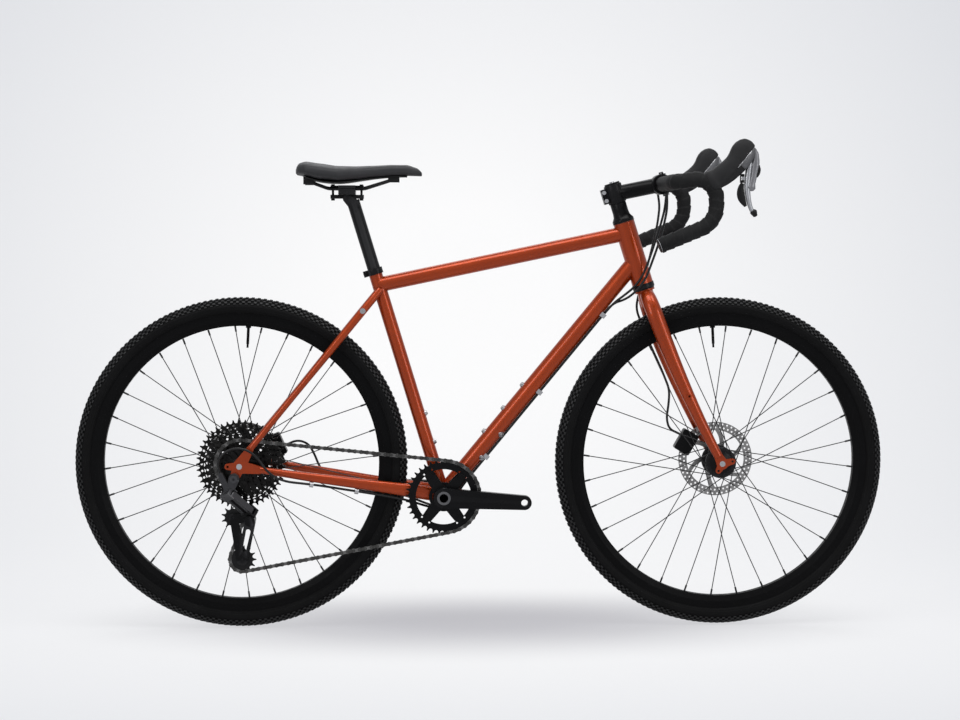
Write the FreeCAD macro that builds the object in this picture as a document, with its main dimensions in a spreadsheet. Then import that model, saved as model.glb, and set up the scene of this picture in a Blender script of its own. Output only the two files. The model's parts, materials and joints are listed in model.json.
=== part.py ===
import FreeCAD, Part
import math
import os
import re
from types import SimpleNamespace

import Sketcher
from FreeCAD import Matrix, Placement, Rotation, Vector

# Gravel bike: +X forward, +Y to the rider's left, +Z up, origin on the ground between the wheels.
doc = FreeCAD.newDocument("gravel_bike")
sheet = doc.addObject("Spreadsheet::Sheet", "Sizes")

# Driving dimensions in millimetres, degrees and counts
SIZES = {
    # Layout
    "wheelbase": 1016,
    "chainstay_length": 432,
    "bracket_drop": 69,
    "seat_angle": 73,
    "head_angle": 72.4,
    "fork_length": 401,
    "fork_rake": 43,
    # Clearances
    "fit_gap": 0.05,
    "run_gap": 0.4,
    # Frame tubes
    "tube_wall": 0.9,
    "head_tube_length": 136.6,
    "head_tube_diameter": 45,
    "head_tube_wall": 2.2,
    "lower_cup_height": 13,
    "seat_tube_length": 501,
    "seat_tube_diameter": 28.6,
    "top_tube_diameter": 31.8,
    "top_tube_on_seat": 466,
    "top_tube_on_head": 24,
    "down_tube_diameter": 34.9,
    "down_tube_on_head": 51,
    "shell_diameter": 40,
    "shell_width": 68,
    "shell_wall": 3,
    "chainstay_height": 29,
    "chainstay_tip": 14.6,
    "seatstay_diameter": 17,
    "seatstay_tip": 14,
    "rear_spacing": 142,
    "dropout_thickness": 7,
    "eyelet_diameter": 5,
    "collar_height": 13,
    "collar_wall": 3,
    # Fork and cockpit
    "front_spacing": 100,
    "axle_diameter": 12,
    "steerer_diameter": 28.6,
    "steerer_wall": 1.5,
    "crown_diameter": 34,
    "crown_drop": 34,
    "blade_width": 33,
    "blade_tip": 19,
    "cover_height": 20,
    "spacer_height": 21,
    "spacer_diameter": 34,
    "stem_clamp_height": 40,
    "stem_clamp_diameter": 38,
    "stem_length": 100,
    "stem_diameter": 32,
    "stem_rise": 11.6,
    "bar_diameter": 23.8,
    "bar_clamp_diameter": 31.8,
    "bar_clamp_width": 46,
    "bar_width": 440,
    "bar_wall": 2,
    "bar_reach": 82,
    "bar_drop": 128,
    "bar_end_setback": 31,
    "ramp_rise": 7,
    "grip_rise": 22.5,
    "tape_diameter": 31,
    # Wheels
    "tyre_radius": 351,
    "tyre_width": 41,
    "tyre_wall": 3,
    "rim_radius": 317,
    "rim_depth": 27,
    "rim_width": 27,
    "rim_wall": 1.8,
    "spoke_diameter": 2,
    "spoke_count": 32,
    "flange_radius": 33,
    "flange_thickness": 3.2,
    "spoke_circle": 30,
    "rotor_diameter": 160,
    "rotor_thickness": 1.8,
    "rotor_band": 15,
    "rotor_bore": 34,
    # Drivetrain
    "chain_pitch": 12.7,
    "roller_diameter": 7.7,
    "chain_line": 45,
    "chainring_teeth": 38,
    "chained_cog": 26,
    "cog_spacing": 3.9,
    "cog_thickness": 1.6,
    "freehub_diameter": 34,
    "spindle_diameter": 24,
    "crank_length": 170,
    "crank_hub_diameter": 42,
    "crank_tip_diameter": 30,
    "crank_thickness": 14,
    "crank_angle": -3.5,
    "pedal_thread": 14.2,
    "bolt_circle": 110,
    "guide_teeth": 11,
    "tension_teeth": 13,
    "pulley_thickness": 1.8,
    # Seat
    "seatpost_diameter": 27.2,
    "seatpost_length": 290,
    "seatpost_reveal": 150,
    "seatpost_wall": 2.2,
    "rail_diameter": 7,
    "rail_spacing": 44,
    "rail_rise": 25.5,
    "clamp_setback": 12,
    "saddle_length": 265,
    "saddle_width": 142,
    "saddle_setback": 107,
}
for row, (name, value) in enumerate(SIZES.items(), start=1):
    sheet.set("A%d" % row, name)
    sheet.set("B%d" % row, str(value))
    sheet.setAlias("B%d" % row, name)
doc.recompute()
v = SimpleNamespace(**{name: float(sheet.get(name)) for name in SIZES})
ALIASES = re.compile(r"\b(" + "|".join(SIZES) + r")\b")
NODES = []

X = Vector(1, 0, 0)
Y = Vector(0, 1, 0)
Z = Vector(0, 0, 1)


# Small geometry helpers

def point(x, z, y=0.0):
    return Vector(x, y, z)


def leaning(angle):
    """Unit vector up a tube that leans back at this angle to the ground."""
    return Vector(-math.cos(math.radians(angle)), 0, math.sin(math.radians(angle)))


def polar(centre, radius, angle):
    """Point at an angle from +X towards +Z about a centre, in the centre's own side plane."""
    a = math.radians(angle)
    return centre + Vector(math.cos(a), 0, math.sin(a)) * radius


def sideways(where, y):
    """The same place in side view, at another distance to the left."""
    return Vector(where.x, y, where.z)


def unit(vector):
    return Vector(vector).normalize()


def mirrored(shape):
    """The same shape on the other side of the bike."""
    return shape.mirror(Vector(0, 0, 0), Y)


def both_sides(shape):
    return Part.Compound([shape, mirrored(shape)])


def frame_of(origin, x_axis, y_axis):
    """Placement whose local x and y follow the two directions given."""
    x_axis = unit(x_axis)
    z_axis = unit(x_axis.cross(y_axis))
    y_axis = z_axis.cross(x_axis)
    matrix = Matrix(x_axis.x, y_axis.x, z_axis.x, origin.x,
                    x_axis.y, y_axis.y, z_axis.y, origin.y,
                    x_axis.z, y_axis.z, z_axis.z, origin.z,
                    0, 0, 0, 1)
    return Placement(matrix)


# Document objects bound to the sheet

def bind(obj, prop, value):
    """Sets a property to a number, or binds it to an expression of named sizes."""
    if isinstance(value, str):
        obj.setExpression(prop, ALIASES.sub(r"Sizes.\1", value))
    else:
        setattr(obj, prop, value)


def cylinder(name, base, axis, radius, height):
    obj = doc.addObject("Part::Cylinder", name)
    bind(obj, "Radius", radius)
    bind(obj, "Height", height)
    obj.Placement = Placement(base, Rotation(Z, axis))
    return obj


def cone(name, base, axis, radius, top_radius, height):
    obj = doc.addObject("Part::Cone", name)
    bind(obj, "Radius1", radius)
    bind(obj, "Radius2", top_radius)
    bind(obj, "Height", height)
    obj.Placement = Placement(base, Rotation(Z, axis))
    return obj


def torus(name, centre, ring_radius, tube_radius):
    obj = doc.addObject("Part::Torus", name)
    bind(obj, "Radius1", ring_radius)
    bind(obj, "Radius2", tube_radius)
    obj.Placement = Placement(centre, Rotation(Z, Y))
    return obj


def block(name, place, length, width, height, start=Vector(0, 0, 0)):
    """A box in a local frame, its lowest corner at start."""
    obj = doc.addObject("Part::Box", name)
    bind(obj, "Length", length)
    bind(obj, "Width", width)
    bind(obj, "Height", height)
    obj.Placement = place.multiply(Placement(start, Rotation()))
    return obj


def cut(name, base, *tools):
    for tool in tools:
        result = doc.addObject("Part::Cut", name + "_cut")
        result.Base = base
        result.Tool = tool
        base = result
    return base


def fuse(name, *pieces):
    obj = doc.addObject("Part::MultiFuse", name + "_fuse")
    obj.Shapes = list(pieces)
    return obj


def group(name, *pieces):
    obj = doc.addObject("Part::Compound", name + "_group")
    obj.Links = list(pieces)
    return obj


def mirror_of(name, source):
    obj = doc.addObject("Part::Mirroring", name)
    obj.Source = source
    obj.Normal = Y
    return obj


def feature(name, shape):
    """A piece whose shape is worked out here from the sheet's sizes."""
    obj = doc.addObject("Part::Feature", name + "_shape")
    obj.Shape = shape
    return obj


def turned(name, base, axis, corners):
    """A body turned about its axis from corners of (radius, height), each bound to the sheet."""
    body = doc.addObject("PartDesign::Body", name + "_body")
    sketch = body.newObject("Sketcher::SketchObject", name + "_profile")
    plane = next(f for f in body.Origin.OriginFeatures if f.Role == "XZ_Plane")
    sketch.AttachmentSupport = (plane, [""])
    sketch.MapMode = "FlatFace"
    count = len(corners)
    ring = [Vector(math.cos(2 * math.pi * i / count), math.sin(2 * math.pi * i / count), 0) for i in range(count)]
    for i in range(count):
        sketch.addGeometry(Part.LineSegment(ring[i] + X * 2, ring[(i + 1) % count] + X * 2))
    for i in range(count):
        sketch.addConstraint(Sketcher.Constraint("Coincident", i, 2, (i + 1) % count, 1))
    for i, (radius, height) in enumerate(corners):
        across = sketch.addConstraint(Sketcher.Constraint("DistanceX", -1, 1, i, 1, 1.0))
        bind(sketch, "Constraints[%d]" % across, str(radius))
        along = sketch.addConstraint(Sketcher.Constraint("DistanceY", -1, 1, i, 1, 1.0))
        bind(sketch, "Constraints[%d]" % along, str(height))
    turn = body.newObject("PartDesign::Revolution", name + "_turn")
    turn.Profile = sketch
    turn.ReferenceAxis = (sketch, ["V_Axis"])
    turn.Angle = 360
    body.Placement = Placement(base, Rotation(Z, axis))
    return body


def node(label, obj):
    obj.Label = label
    NODES.append(obj)
    return obj


# Computed outlines, lofts and tubes

def bar_face(first, first_radius, second, second_radius):
    """Outline round two circles in side view, as a face."""
    run = second - first
    lean = math.degrees(math.atan2(run.z, run.x))
    spread = math.degrees(math.acos((first_radius - second_radius) / run.Length))
    a, b = polar(first, first_radius, lean + spread), polar(first, first_radius, lean - spread)
    c, d = polar(second, second_radius, lean - spread), polar(second, second_radius, lean + spread)
    edges = [
        Part.Arc(a, polar(first, first_radius, lean + 180), b).toShape(),
        Part.LineSegment(b, c).toShape(),
        Part.Arc(c, polar(second, second_radius, lean), d).toShape(),
        Part.LineSegment(d, a).toShape(),
    ]
    return Part.Face(Part.Wire(edges))


def bar(first, first_radius, second, second_radius, y_from, y_to):
    """A flat bar round two circles, from one side distance to another."""
    face = bar_face(sideways(first, y_from), first_radius, sideways(second, y_from), second_radius)
    return face.extrude(Y * (y_to - y_from))


def pin(centre, radius, y_from, y_to):
    """A round pin across the bike."""
    return Part.makeCylinder(radius, y_to - y_from, sideways(centre, y_from), Y)


def oval(centre, direction, half_tall, half_thin):
    """A closed oval across a direction: tall in side view, thin from left to right."""
    along = unit(direction)
    tall = unit(along.cross(Y))
    thin = along.cross(tall)
    matrix = Matrix(tall.x * half_tall, thin.x * half_thin, along.x, centre.x,
                    tall.y * half_tall, thin.y * half_thin, along.y, centre.y,
                    tall.z * half_tall, thin.z * half_thin, along.z, centre.z,
                    0, 0, 0, 1)
    return Part.Wire(Part.makeCircle(1).transformGeometry(matrix).Edges)


def oval_loft(stations):
    """A smooth solid through ovals, each given as (centre, half_tall, half_thin)."""
    centres = [station[0] for station in stations]
    sections = []
    for i, (centre, half_tall, half_thin) in enumerate(stations):
        ahead = centres[min(i + 1, len(centres) - 1)]
        behind = centres[max(i - 1, 0)]
        sections.append(oval(centre, ahead - behind, half_tall, half_thin))
    return Part.makeLoft(sections, True, False)


def rounded_path(points, radii):
    """Straight runs through the points, joined by tangent arcs of the radii given."""
    edges = []
    start = points[0]
    for before, corner, after, radius in zip(points, points[1:], points[2:], radii):
        back, forward = unit(before - corner), unit(after - corner)
        half = back.getAngle(forward) / 2
        reach = radius / math.tan(half)
        first, last = corner + back * reach, corner + forward * reach
        middle = corner + unit(back + forward) * (radius / math.sin(half) - radius)
        edges.append(Part.LineSegment(start, first).toShape())
        edges.append(Part.Arc(first, middle, last).toShape())
        start = last
    edges.append(Part.LineSegment(start, points[-1]).toShape())
    return Part.Wire(edges)


def tube_along(path, radius):
    """A round solid swept along a path of runs and arcs."""
    first = path.Edges[0]
    start = first.valueAt(first.FirstParameter)
    tangent = first.tangentAt(first.FirstParameter)
    profile = Part.Wire(Part.makeCircle(radius, start, tangent))
    return path.makePipeShell([profile], True, False)


def cord(name, points, radius):
    """A cable along its points, each arc as large as its two runs allow."""
    lengths = [(b - a).Length for a, b in zip(points, points[1:])]
    radii = []
    for i in range(1, len(points) - 1):
        turn = (points[i] - points[i - 1]).getAngle(points[i + 1] - points[i])
        radii.append(0.45 * min(lengths[i - 1], lengths[i]) / math.tan(turn / 2))
    path = rounded_path(points, radii)
    solid = tube_along(path, radius)
    expected = math.pi * radius ** 2 * path.Length
    print("%s radii %s, volume ratio %.4f" % (name, [round(r) for r in radii], solid.Volume / expected))
    return solid


# Layout of the bike
rear_axle = point(-v.wheelbase / 2, v.tyre_radius)
front_axle = point(v.wheelbase / 2, v.tyre_radius)
stay_run = math.sqrt(v.chainstay_length ** 2 - v.bracket_drop ** 2)
bracket = point(rear_axle.x + stay_run, v.tyre_radius - v.bracket_drop)
seat_up = leaning(v.seat_angle)
seat_back = Vector(-seat_up.z, 0, seat_up.x)
head_up = leaning(v.head_angle)
head_forward = Vector(head_up.z, 0, -head_up.x)
steer_foot = front_axle - head_forward * v.fork_rake
steer_rise = math.sqrt(v.fork_length ** 2 - v.fork_rake ** 2)
crown_race = steer_foot + head_up * steer_rise
head_bottom = crown_race + head_up * v.lower_cup_height
head_top = head_bottom + head_up * v.head_tube_length
seat_top = bracket + seat_up * v.seat_tube_length
axle_hole = v.axle_diameter / 2 + v.fit_gap
rear_inside = v.rear_spacing / 2
rear_outside = rear_inside + v.dropout_thickness
front_inside = v.front_spacing / 2
front_outside = front_inside + v.dropout_thickness
eyelet_radius = v.eyelet_diameter / 2


def frame_tubes():
    """The five main tubes, each mitred to the tube it is welded to."""
    head_outer = cylinder("head_outer", head_bottom, head_up, "head_tube_diameter / 2", "head_tube_length")
    head_bore = cylinder("head_bore", head_bottom, head_up,
                         "head_tube_diameter / 2 - head_tube_wall", "head_tube_length")
    node("head_tube", cut("head_tube", head_outer, head_bore))

    shell_base = bracket - Y * (v.shell_width / 2)
    shell_outer = cylinder("shell_outer", shell_base, Y, "shell_diameter / 2", "shell_width")
    shell_bore = cylinder("shell_bore", shell_base, Y, "shell_diameter / 2 - shell_wall", "shell_width")
    node("bottom_bracket_shell", cut("bottom_bracket_shell", shell_outer, shell_bore))

    seat_outer = cylinder("seat_outer", bracket, seat_up, "seat_tube_diameter / 2", "seat_tube_length")
    seat_bore = cylinder("seat_bore", bracket, seat_up, "seatpost_diameter / 2 + fit_gap", "seat_tube_length")
    slot_width = 2.0
    slot_length = 30.0
    seat_frame = frame_of(seat_top, seat_back, Y * -1)
    slot = block("seat_slot", seat_frame, "seat_tube_diameter", slot_width, slot_length,
                 Vector(0, -slot_width / 2, -slot_length))
    node("seat_tube", cut("seat_tube", seat_outer, seat_bore, shell_outer, slot))

    top_start = bracket + seat_up * v.top_tube_on_seat
    top_run = head_top - head_up * v.top_tube_on_head - top_start
    top_outer = cylinder("top_outer", top_start, top_run, "top_tube_diameter / 2", top_run.Length)
    top_bore = cylinder("top_bore", top_start, top_run, "top_tube_diameter / 2 - tube_wall", top_run.Length)
    node("top_tube", cut("top_tube", top_outer, top_bore, seat_outer, head_outer))

    down_run = head_bottom + head_up * v.down_tube_on_head - bracket
    down_outer = cylinder("down_outer", bracket, down_run, "down_tube_diameter / 2", down_run.Length)
    down_bore = cylinder("down_bore", bracket, down_run, "down_tube_diameter / 2 - tube_wall", down_run.Length)
    node("down_tube", cut("down_tube", down_outer, down_bore, shell_outer, seat_outer, head_outer))
    return SimpleNamespace(shell=shell_outer, seat=seat_outer, down=down_outer, down_axis=unit(down_run))


tubes = frame_tubes()
down_axis = tubes.down_axis
down_under = Vector(down_axis.z, 0, -down_axis.x)


def rear_end():
    """Dropouts, chainstays and seatstays."""
    stay_foot = polar(rear_axle, 42, -9.9)
    stay_head = polar(rear_axle, 45, 58)
    rack_eye = polar(rear_axle, 24, 180)
    plate = bar(rear_axle, 14, stay_foot, 8, rear_inside, rear_outside)
    plate = plate.fuse(bar(rear_axle, 14, stay_head, 7, rear_inside, rear_outside))
    plate = plate.fuse(bar(rear_axle, 10, rack_eye, 6.5, rear_inside, rear_outside))
    plate = plate.cut(pin(rear_axle, axle_hole, rear_inside, rear_outside))
    plate = plate.cut(pin(rack_eye, eyelet_radius, rear_inside, rear_outside)).removeSplitter()
    hanger = bar(rear_axle, 13, hanger_eye, 9.5, -rear_outside, -rear_inside)
    hanger = hanger.cut(pin(rear_axle, axle_hole, -rear_outside, -rear_inside))
    drive_plate = mirrored(plate).fuse(hanger)
    drive_plate = drive_plate.cut(pin(hanger_eye, hanger_bolt_radius + v.fit_gap, -rear_outside, -rear_inside))
    dropouts = node("rear_dropouts", feature("dropouts", Part.Compound([plate, drive_plate.removeSplitter()])))

    # Chainstays: oval and close together past the tyre, round and wide at the dropouts
    tall, tip = v.chainstay_height / 2, v.chainstay_tip / 2
    across = [(0.00, 23.5, tall, 8), (0.16, 29, tall, 8), (0.28, 34, 13, 8), (0.5, 49, 11, 8),
              (0.75, 64, 9.3, 7.8), (1.0, rear_inside + v.dropout_thickness / 2, tip, 7)]
    foot_run = stay_foot - bracket
    stations = [(sideways(bracket + foot_run * share, y), high, thin) for share, y, high, thin in across]
    chain_bridge_at = bracket + foot_run * 0.14
    chain_stay = oval_loft(stations)
    pair = chain_stay.fuse([mirrored(chain_stay), pin(chain_bridge_at, 6, -29, 29)])
    chain_feature = feature("chainstay_loft", pair)
    node("chainstays", cut("chainstays", chain_feature, tubes.shell, tubes.seat, dropouts))

    # Seatstays: bowed out round the tyre, drawn in to the back of the seat tube
    upper, lower = v.seatstay_diameter / 2, v.seatstay_tip / 2
    crown = bracket + seat_up * (v.top_tube_on_seat - 10)
    bowed = [(0.0, rear_inside + 1, lower), (0.3, 60, lower), (0.6, 44, upper - 0.5), (0.8, 32, upper),
             (0.92, 21, upper), (1.0, 11, upper)]
    head_run = crown - stay_head
    stations = [(sideways(stay_head + head_run * share, y), half, half) for share, y, half in bowed]
    bridge_at = stay_head + head_run * 0.785
    stay = oval_loft(stations)
    pair = stay.fuse([mirrored(stay), pin(bridge_at, 7, -32, 32)])
    seat_feature = feature("seatstay_loft", pair)
    node("seatstays", cut("seatstays", seat_feature, tubes.seat, dropouts))
    return SimpleNamespace(solid=chain_stay, seat_solid=stay, head=stay_head, head_run=head_run)


# The derailleur hangs below and behind the axle
hanger_eye = rear_axle + Vector(-10, 0, -24)
hanger_bolt_radius = 5.0
stays = rear_end()


def seat_collar():
    """Clamp ring on the seat tube's top, with its bolt at the back."""
    base = seat_top - seat_up * (v.collar_height - 1)
    ring = cylinder("collar_ring", base, seat_up, "seat_tube_diameter / 2 + collar_wall", "collar_height")
    ear_frame = frame_of(base, seat_back, Y * -1)
    ear_width = 14.0
    ear = block("collar_ear", ear_frame, "seat_tube_diameter / 2 + 10", ear_width, "collar_height",
                Vector(0, -ear_width / 2, 0))
    slot_width = 1.6
    slot = block("collar_slot", ear_frame, "seat_tube_diameter / 2 + 12", slot_width, "collar_height",
                 Vector(0, -slot_width / 2, 0))
    bore = cylinder("collar_bore", base, seat_up, "seat_tube_diameter / 2 + fit_gap", "collar_height")
    bolt_at = base + seat_up * (v.collar_height / 2) + seat_back * (v.seat_tube_diameter / 2 + 6)
    bolt_hole = cylinder("collar_bolt_hole", bolt_at - Y * ear_width, Y, 2.6, 2 * ear_width)
    shank = cylinder("collar_shank", bolt_at - Y * (ear_width / 2 + 1), Y, 2.5, ear_width + 1)
    head = cylinder("collar_head", bolt_at - Y * (ear_width / 2 + 5), Y, 4.2, 5 - v.fit_gap)
    ring_body = cut("collar_body", fuse("collar_outer", ring, ear), bore, slot, bolt_hole)
    node("seat_collar", group("seat_collar", ring_body, fuse("collar_bolt", shank, head)))


def bearings():
    """Bottom bracket cups, headset cups and the rear axle."""
    half = "shell_width / 2"
    bore = "spindle_diameter / 2 + fit_gap"
    sleeve = "shell_diameter / 2 - shell_wall - fit_gap"
    cup = turned("bracket_cup", bracket, Y, [
        (bore, half + " - 16"), (sleeve, half + " - 16"), (sleeve, half), ("shell_diameter / 2 + 2", half),
        ("shell_diameter / 2 + 2", half + " + 9"), ("shell_diameter / 2", half + " + 10.5"),
        (bore, half + " + 10.5")])
    node("bottom_bracket_cups", group("bottom_bracket_cups", cup, mirror_of("bracket_cup_left", cup)))

    steer_bore = "steerer_diameter / 2 + fit_gap"
    insert = "head_tube_diameter / 2 - head_tube_wall - fit_gap"
    lip = "head_tube_diameter / 2 + 1"
    lower = turned("lower_cup", crown_race, head_up, [
        (steer_bore, "run_gap"), ("head_tube_diameter / 2 - 1", "run_gap"), (lip, "4"),
        (lip, "lower_cup_height"), (insert, "lower_cup_height"), (insert, "lower_cup_height + 12"),
        (steer_bore, "lower_cup_height + 12")])
    upper = turned("upper_cup", head_top, head_up, [
        (steer_bore, "-12"), (insert, "-12"), (insert, "0"), (lip, "0"), (lip, "1.5"), (steer_bore, "1.5")])
    node("headset_cups", group("headset_cups", lower, upper))

    axle_base = rear_axle - Y * rear_outside
    shaft = cylinder("rear_axle_shaft", axle_base, Y, "axle_diameter / 2", 2 * rear_outside + 1)
    head = cylinder("rear_axle_head", rear_axle + Y * (rear_outside + v.fit_gap), Y, 9, 6)
    socket = cylinder("rear_axle_socket", rear_axle + Y * (rear_outside + 2), Y, 3, 6)
    node("rear_axle", cut("rear_axle", fuse("rear_axle_solid", shaft, head), socket))


seat_collar()
bearings()

# Fork
stack_base = head_top + head_up * (1.5 + v.run_gap)
stem_base = stack_base + head_up * (v.cover_height + v.spacer_height)
stem_centre = stem_base + head_up * (v.stem_clamp_height / 2)
stem_top = stem_base + head_up * v.stem_clamp_height
stem_axis = Vector(math.cos(math.radians(v.stem_rise)), 0, math.sin(math.radians(v.stem_rise)))
bar_centre = stem_centre + stem_axis * v.stem_length
steerer_top = (stem_top - crown_race).Length - 3


def blade_at(share, y):
    """Centre of a fork blade at a share of the way from the crown to the axle."""
    down = steer_foot - crown_race
    return sideways(crown_race + down * share + head_forward * (v.fork_rake * share ** 1.8), y)


def fork():
    steerer, inner = "steerer_diameter / 2", "steerer_diameter / 2 - steerer_wall"
    core, race = "crown_diameter / 2", "head_tube_diameter / 2 - 1"
    node("fork_crown", turned("fork_crown", crown_race, head_up, [
        (inner, "-crown_drop"), (core, "-crown_drop"), (core, "-4"), (race, "-4"), (race, "0"), (steerer, "0"),
        (steerer, str(steerer_top)), (inner, str(steerer_top))]))

    crown_core = cylinder("crown_core", crown_race, head_up * -1, core, "crown_drop + 30")
    crown_top = cylinder("crown_race_seat", crown_race - head_up * 4, head_up, race, 40)
    top, tip = v.blade_width / 2, v.blade_tip / 2
    outer_end = front_inside + 4
    profile = [(0.022, 13, top - 2, 12), (0.06, 28, top, 13.5), (0.11, 38, top + 0.5, 13.5), (0.18, 43, top + 0.5, 13),
               (0.5, 48, top - 2, 11.5), (0.82, 52, tip + 1.5, 9), (0.955, outer_end, tip, 7.5)]
    blade = oval_loft([(blade_at(share, y), tall, thin) for share, y, tall, thin in profile])
    fork_end = sideways(front_axle, 0)
    plate = bar(fork_end, 12, blade_at(0.94, 0), 8.5, front_inside, front_outside)
    rack_eye = polar(fork_end, 22, 14)
    guard_eye = polar(fork_end, 17, 240)
    plate = plate.fuse(bar(fork_end, 9, rack_eye, 6, front_inside, front_outside))
    plate = plate.fuse(bar(fork_end, 9, guard_eye, 6, front_inside, front_outside))
    mid_boss = pin(blade_at(MID_EYE_SHARE, 0), 5, 40, mid_eye_face)
    side = blade.fuse([plate, mid_boss])
    side = side.cut(pin(fork_end, axle_hole, front_inside - 10, front_outside + 10))
    side = side.cut(pin(rack_eye, eyelet_radius, front_inside, front_outside))
    side = side.cut(pin(guard_eye, eyelet_radius, front_inside, front_outside))
    side = side.cut(pin(blade_at(MID_EYE_SHARE, 0), eyelet_radius, mid_eye_face - 12, mid_eye_face))
    inside = Part.makeBox(60, front_inside, 60, fork_end + Vector(-30, 0, -30))
    side = side.cut(inside).removeSplitter()
    blades = feature("blade_loft", both_sides(side))
    node("fork_blades", cut("fork_blades", blades, crown_core, crown_top))

    shaft = cylinder("front_axle_shaft", front_axle - Y * front_outside, Y, "axle_diameter / 2", 2 * front_outside + 1)
    head = cylinder("front_axle_head", front_axle + Y * (front_outside + v.fit_gap), Y, 9, 6)
    socket = cylinder("front_axle_socket", front_axle + Y * (front_outside + 2), Y, 3, 6)
    node("front_axle", cut("front_axle", fuse("front_axle_solid", shaft, head), socket))
    return side


MID_EYE_SHARE = 0.6
mid_eye_face = 62.5
blade_solid = fork()


def cockpit():
    """Headset cover, spacer, stem, faceplate and their bolts."""
    bore = "steerer_diameter / 2 + fit_gap"
    cover = turned("headset_cover", stack_base, head_up, [
        (bore, "0"), ("head_tube_diameter / 2 + 0.5", "0"), ("head_tube_diameter / 2 + 0.5", "4"),
        ("spacer_diameter / 2 + 1", "12"), ("spacer_diameter / 2", "cover_height"), (bore, "cover_height")])
    spacer = turned("headset_spacer", stack_base, head_up, [
        (bore, "cover_height"), ("spacer_diameter / 2", "cover_height"),
        ("spacer_diameter / 2", "cover_height + spacer_height"), (bore, "cover_height + spacer_height")])
    cap = turned("stem_cap", stem_top, head_up, [
        ("3", "0"), ("stem_clamp_diameter / 2 - 2", "0"), ("stem_clamp_diameter / 2 - 3", "4"), ("3", "4")])
    node("headset_spacers", group("headset_spacers", cover, spacer, cap))

    clamp = cylinder("stem_clamp", stem_base, head_up, "stem_clamp_diameter / 2", "stem_clamp_height")
    body = cylinder("stem_body", stem_centre, stem_axis, "stem_diameter / 2", "stem_length")
    ear_frame = frame_of(stem_base, head_forward * -1, Y * -1)
    ear_width = 22.0
    ear = block("stem_ear", ear_frame, "stem_clamp_diameter / 2 + 9", ear_width, "stem_clamp_height - 8",
                Vector(0, -ear_width / 2, 4))
    ear_slot = block("stem_ear_slot", ear_frame, "stem_clamp_diameter / 2 + 12", 2, "stem_clamp_height", Vector(0, -1, 0))
    holder = cylinder("bar_holder", bar_centre - Y * (v.bar_clamp_width / 2), Y,
                      "bar_clamp_diameter / 2 + 5.5", "bar_clamp_width")
    steerer_hole = cylinder("stem_steerer_hole", stem_base, head_up, bore, "stem_clamp_height")
    bar_hole = cylinder("stem_bar_hole", bar_centre - Y * v.bar_clamp_width, Y,
                        "bar_clamp_diameter / 2 + fit_gap", "2 * bar_clamp_width")
    split_frame = frame_of(bar_centre, stem_axis, Y)
    reach = 60.0
    split_gap = 1.0
    front_half = block("stem_front_half", split_frame, reach, reach * 2, reach * 2,
                       Vector(split_gap, -reach, -reach))
    rear_half = block("stem_rear_half", split_frame, reach, reach * 2, reach * 2,
                      Vector(split_gap * 2 - reach, -reach, -reach))
    bolt_radius = 2.5
    ear_holes = []
    bolts = []
    for height in (11.0, 29.0):
        at = stem_base + head_up * height - head_forward * (v.stem_clamp_diameter / 2 + 4)
        ear_holes.append(cylinder("ear_hole", at - Y * ear_width, Y, bolt_radius + v.fit_gap, 2 * ear_width))
        shank = cylinder("ear_shank", at - Y * (ear_width / 2), Y, bolt_radius, ear_width)
        head = cylinder("ear_head", at - Y * (ear_width / 2 + 4), Y, 4.3, 4 - v.fit_gap)
        bolts.append(fuse("ear_bolt", shank, head))
    stem_solid = fuse("stem_solid", clamp, body, ear, holder)
    node("stem", cut("stem", stem_solid, steerer_hole, bar_hole, ear_slot, front_half, *ear_holes))

    lug_height = v.bar_clamp_diameter / 2 + 5
    lug_depth = 5.0
    lugs = []
    lug_holes = []
    head_radius = 4.2
    stem_normal = unit(Vector(-stem_axis.z, 0, stem_axis.x))
    for side in (-1, 1):
        for level in (-1, 1):
            at = bar_centre + Y * (side * 15) + stem_normal * (level * lug_height)
            lugs.append(cylinder("faceplate_lug", at + stem_axis * (2 * split_gap), stem_axis, 5, lug_depth))
            lug_holes.append(cylinder("lug_hole", at, stem_axis, bolt_radius + v.fit_gap, 30))
            shank = cylinder("lug_shank", at + stem_axis * (2 * split_gap), stem_axis, bolt_radius, lug_depth + 1)
            seat_face = at + stem_axis * (2 * split_gap + lug_depth)
            head = cylinder("lug_head", seat_face + stem_axis * v.fit_gap, stem_axis, head_radius, 4)
            lug_holes.append(cylinder("lug_head_room", seat_face, stem_axis, head_radius + v.run_gap, 30))
            bolts.append(fuse("lug_bolt", shank, head))
    plate_ring = fuse("faceplate_ring", holder, *lugs)
    node("stem_faceplate", cut("stem_faceplate", plate_ring, bar_hole, rear_half, *lug_holes))
    cap_shank = cylinder("cap_shank", stem_top - head_up * 2, head_up, 3 - v.fit_gap, 6)
    cap_head = cylinder("cap_head", stem_top + head_up * (4 + v.fit_gap), head_up, 5, 2.5)
    node("stem_bolts", group("stem_bolts", *bolts, fuse("cap_bolt", cap_shank, cap_head)))


cockpit()

# Drop handlebar: each half runs out, forward along the ramp, round the hook and back along the drop
half_bar = v.bar_width / 2
ramp_axis = Vector(math.cos(math.radians(v.ramp_rise)), 0, math.sin(math.radians(v.ramp_rise)))
grip_axis = Vector(math.cos(math.radians(v.grip_rise)), 0, math.sin(math.radians(v.grip_rise)))
shoulder = sideways(bar_centre, -half_bar)
hook_top = shoulder + ramp_axis * (v.bar_reach / ramp_axis.x)
grip_end = shoulder + Vector(-v.bar_end_setback, 0, -v.bar_drop)
hook_low = grip_end + grip_axis * ((hook_top.x - grip_end.x) / grip_axis.x)
SHOULDER_BEND = 34
HOOK_BEND = 40
GRIP_BEND = 50


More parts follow.
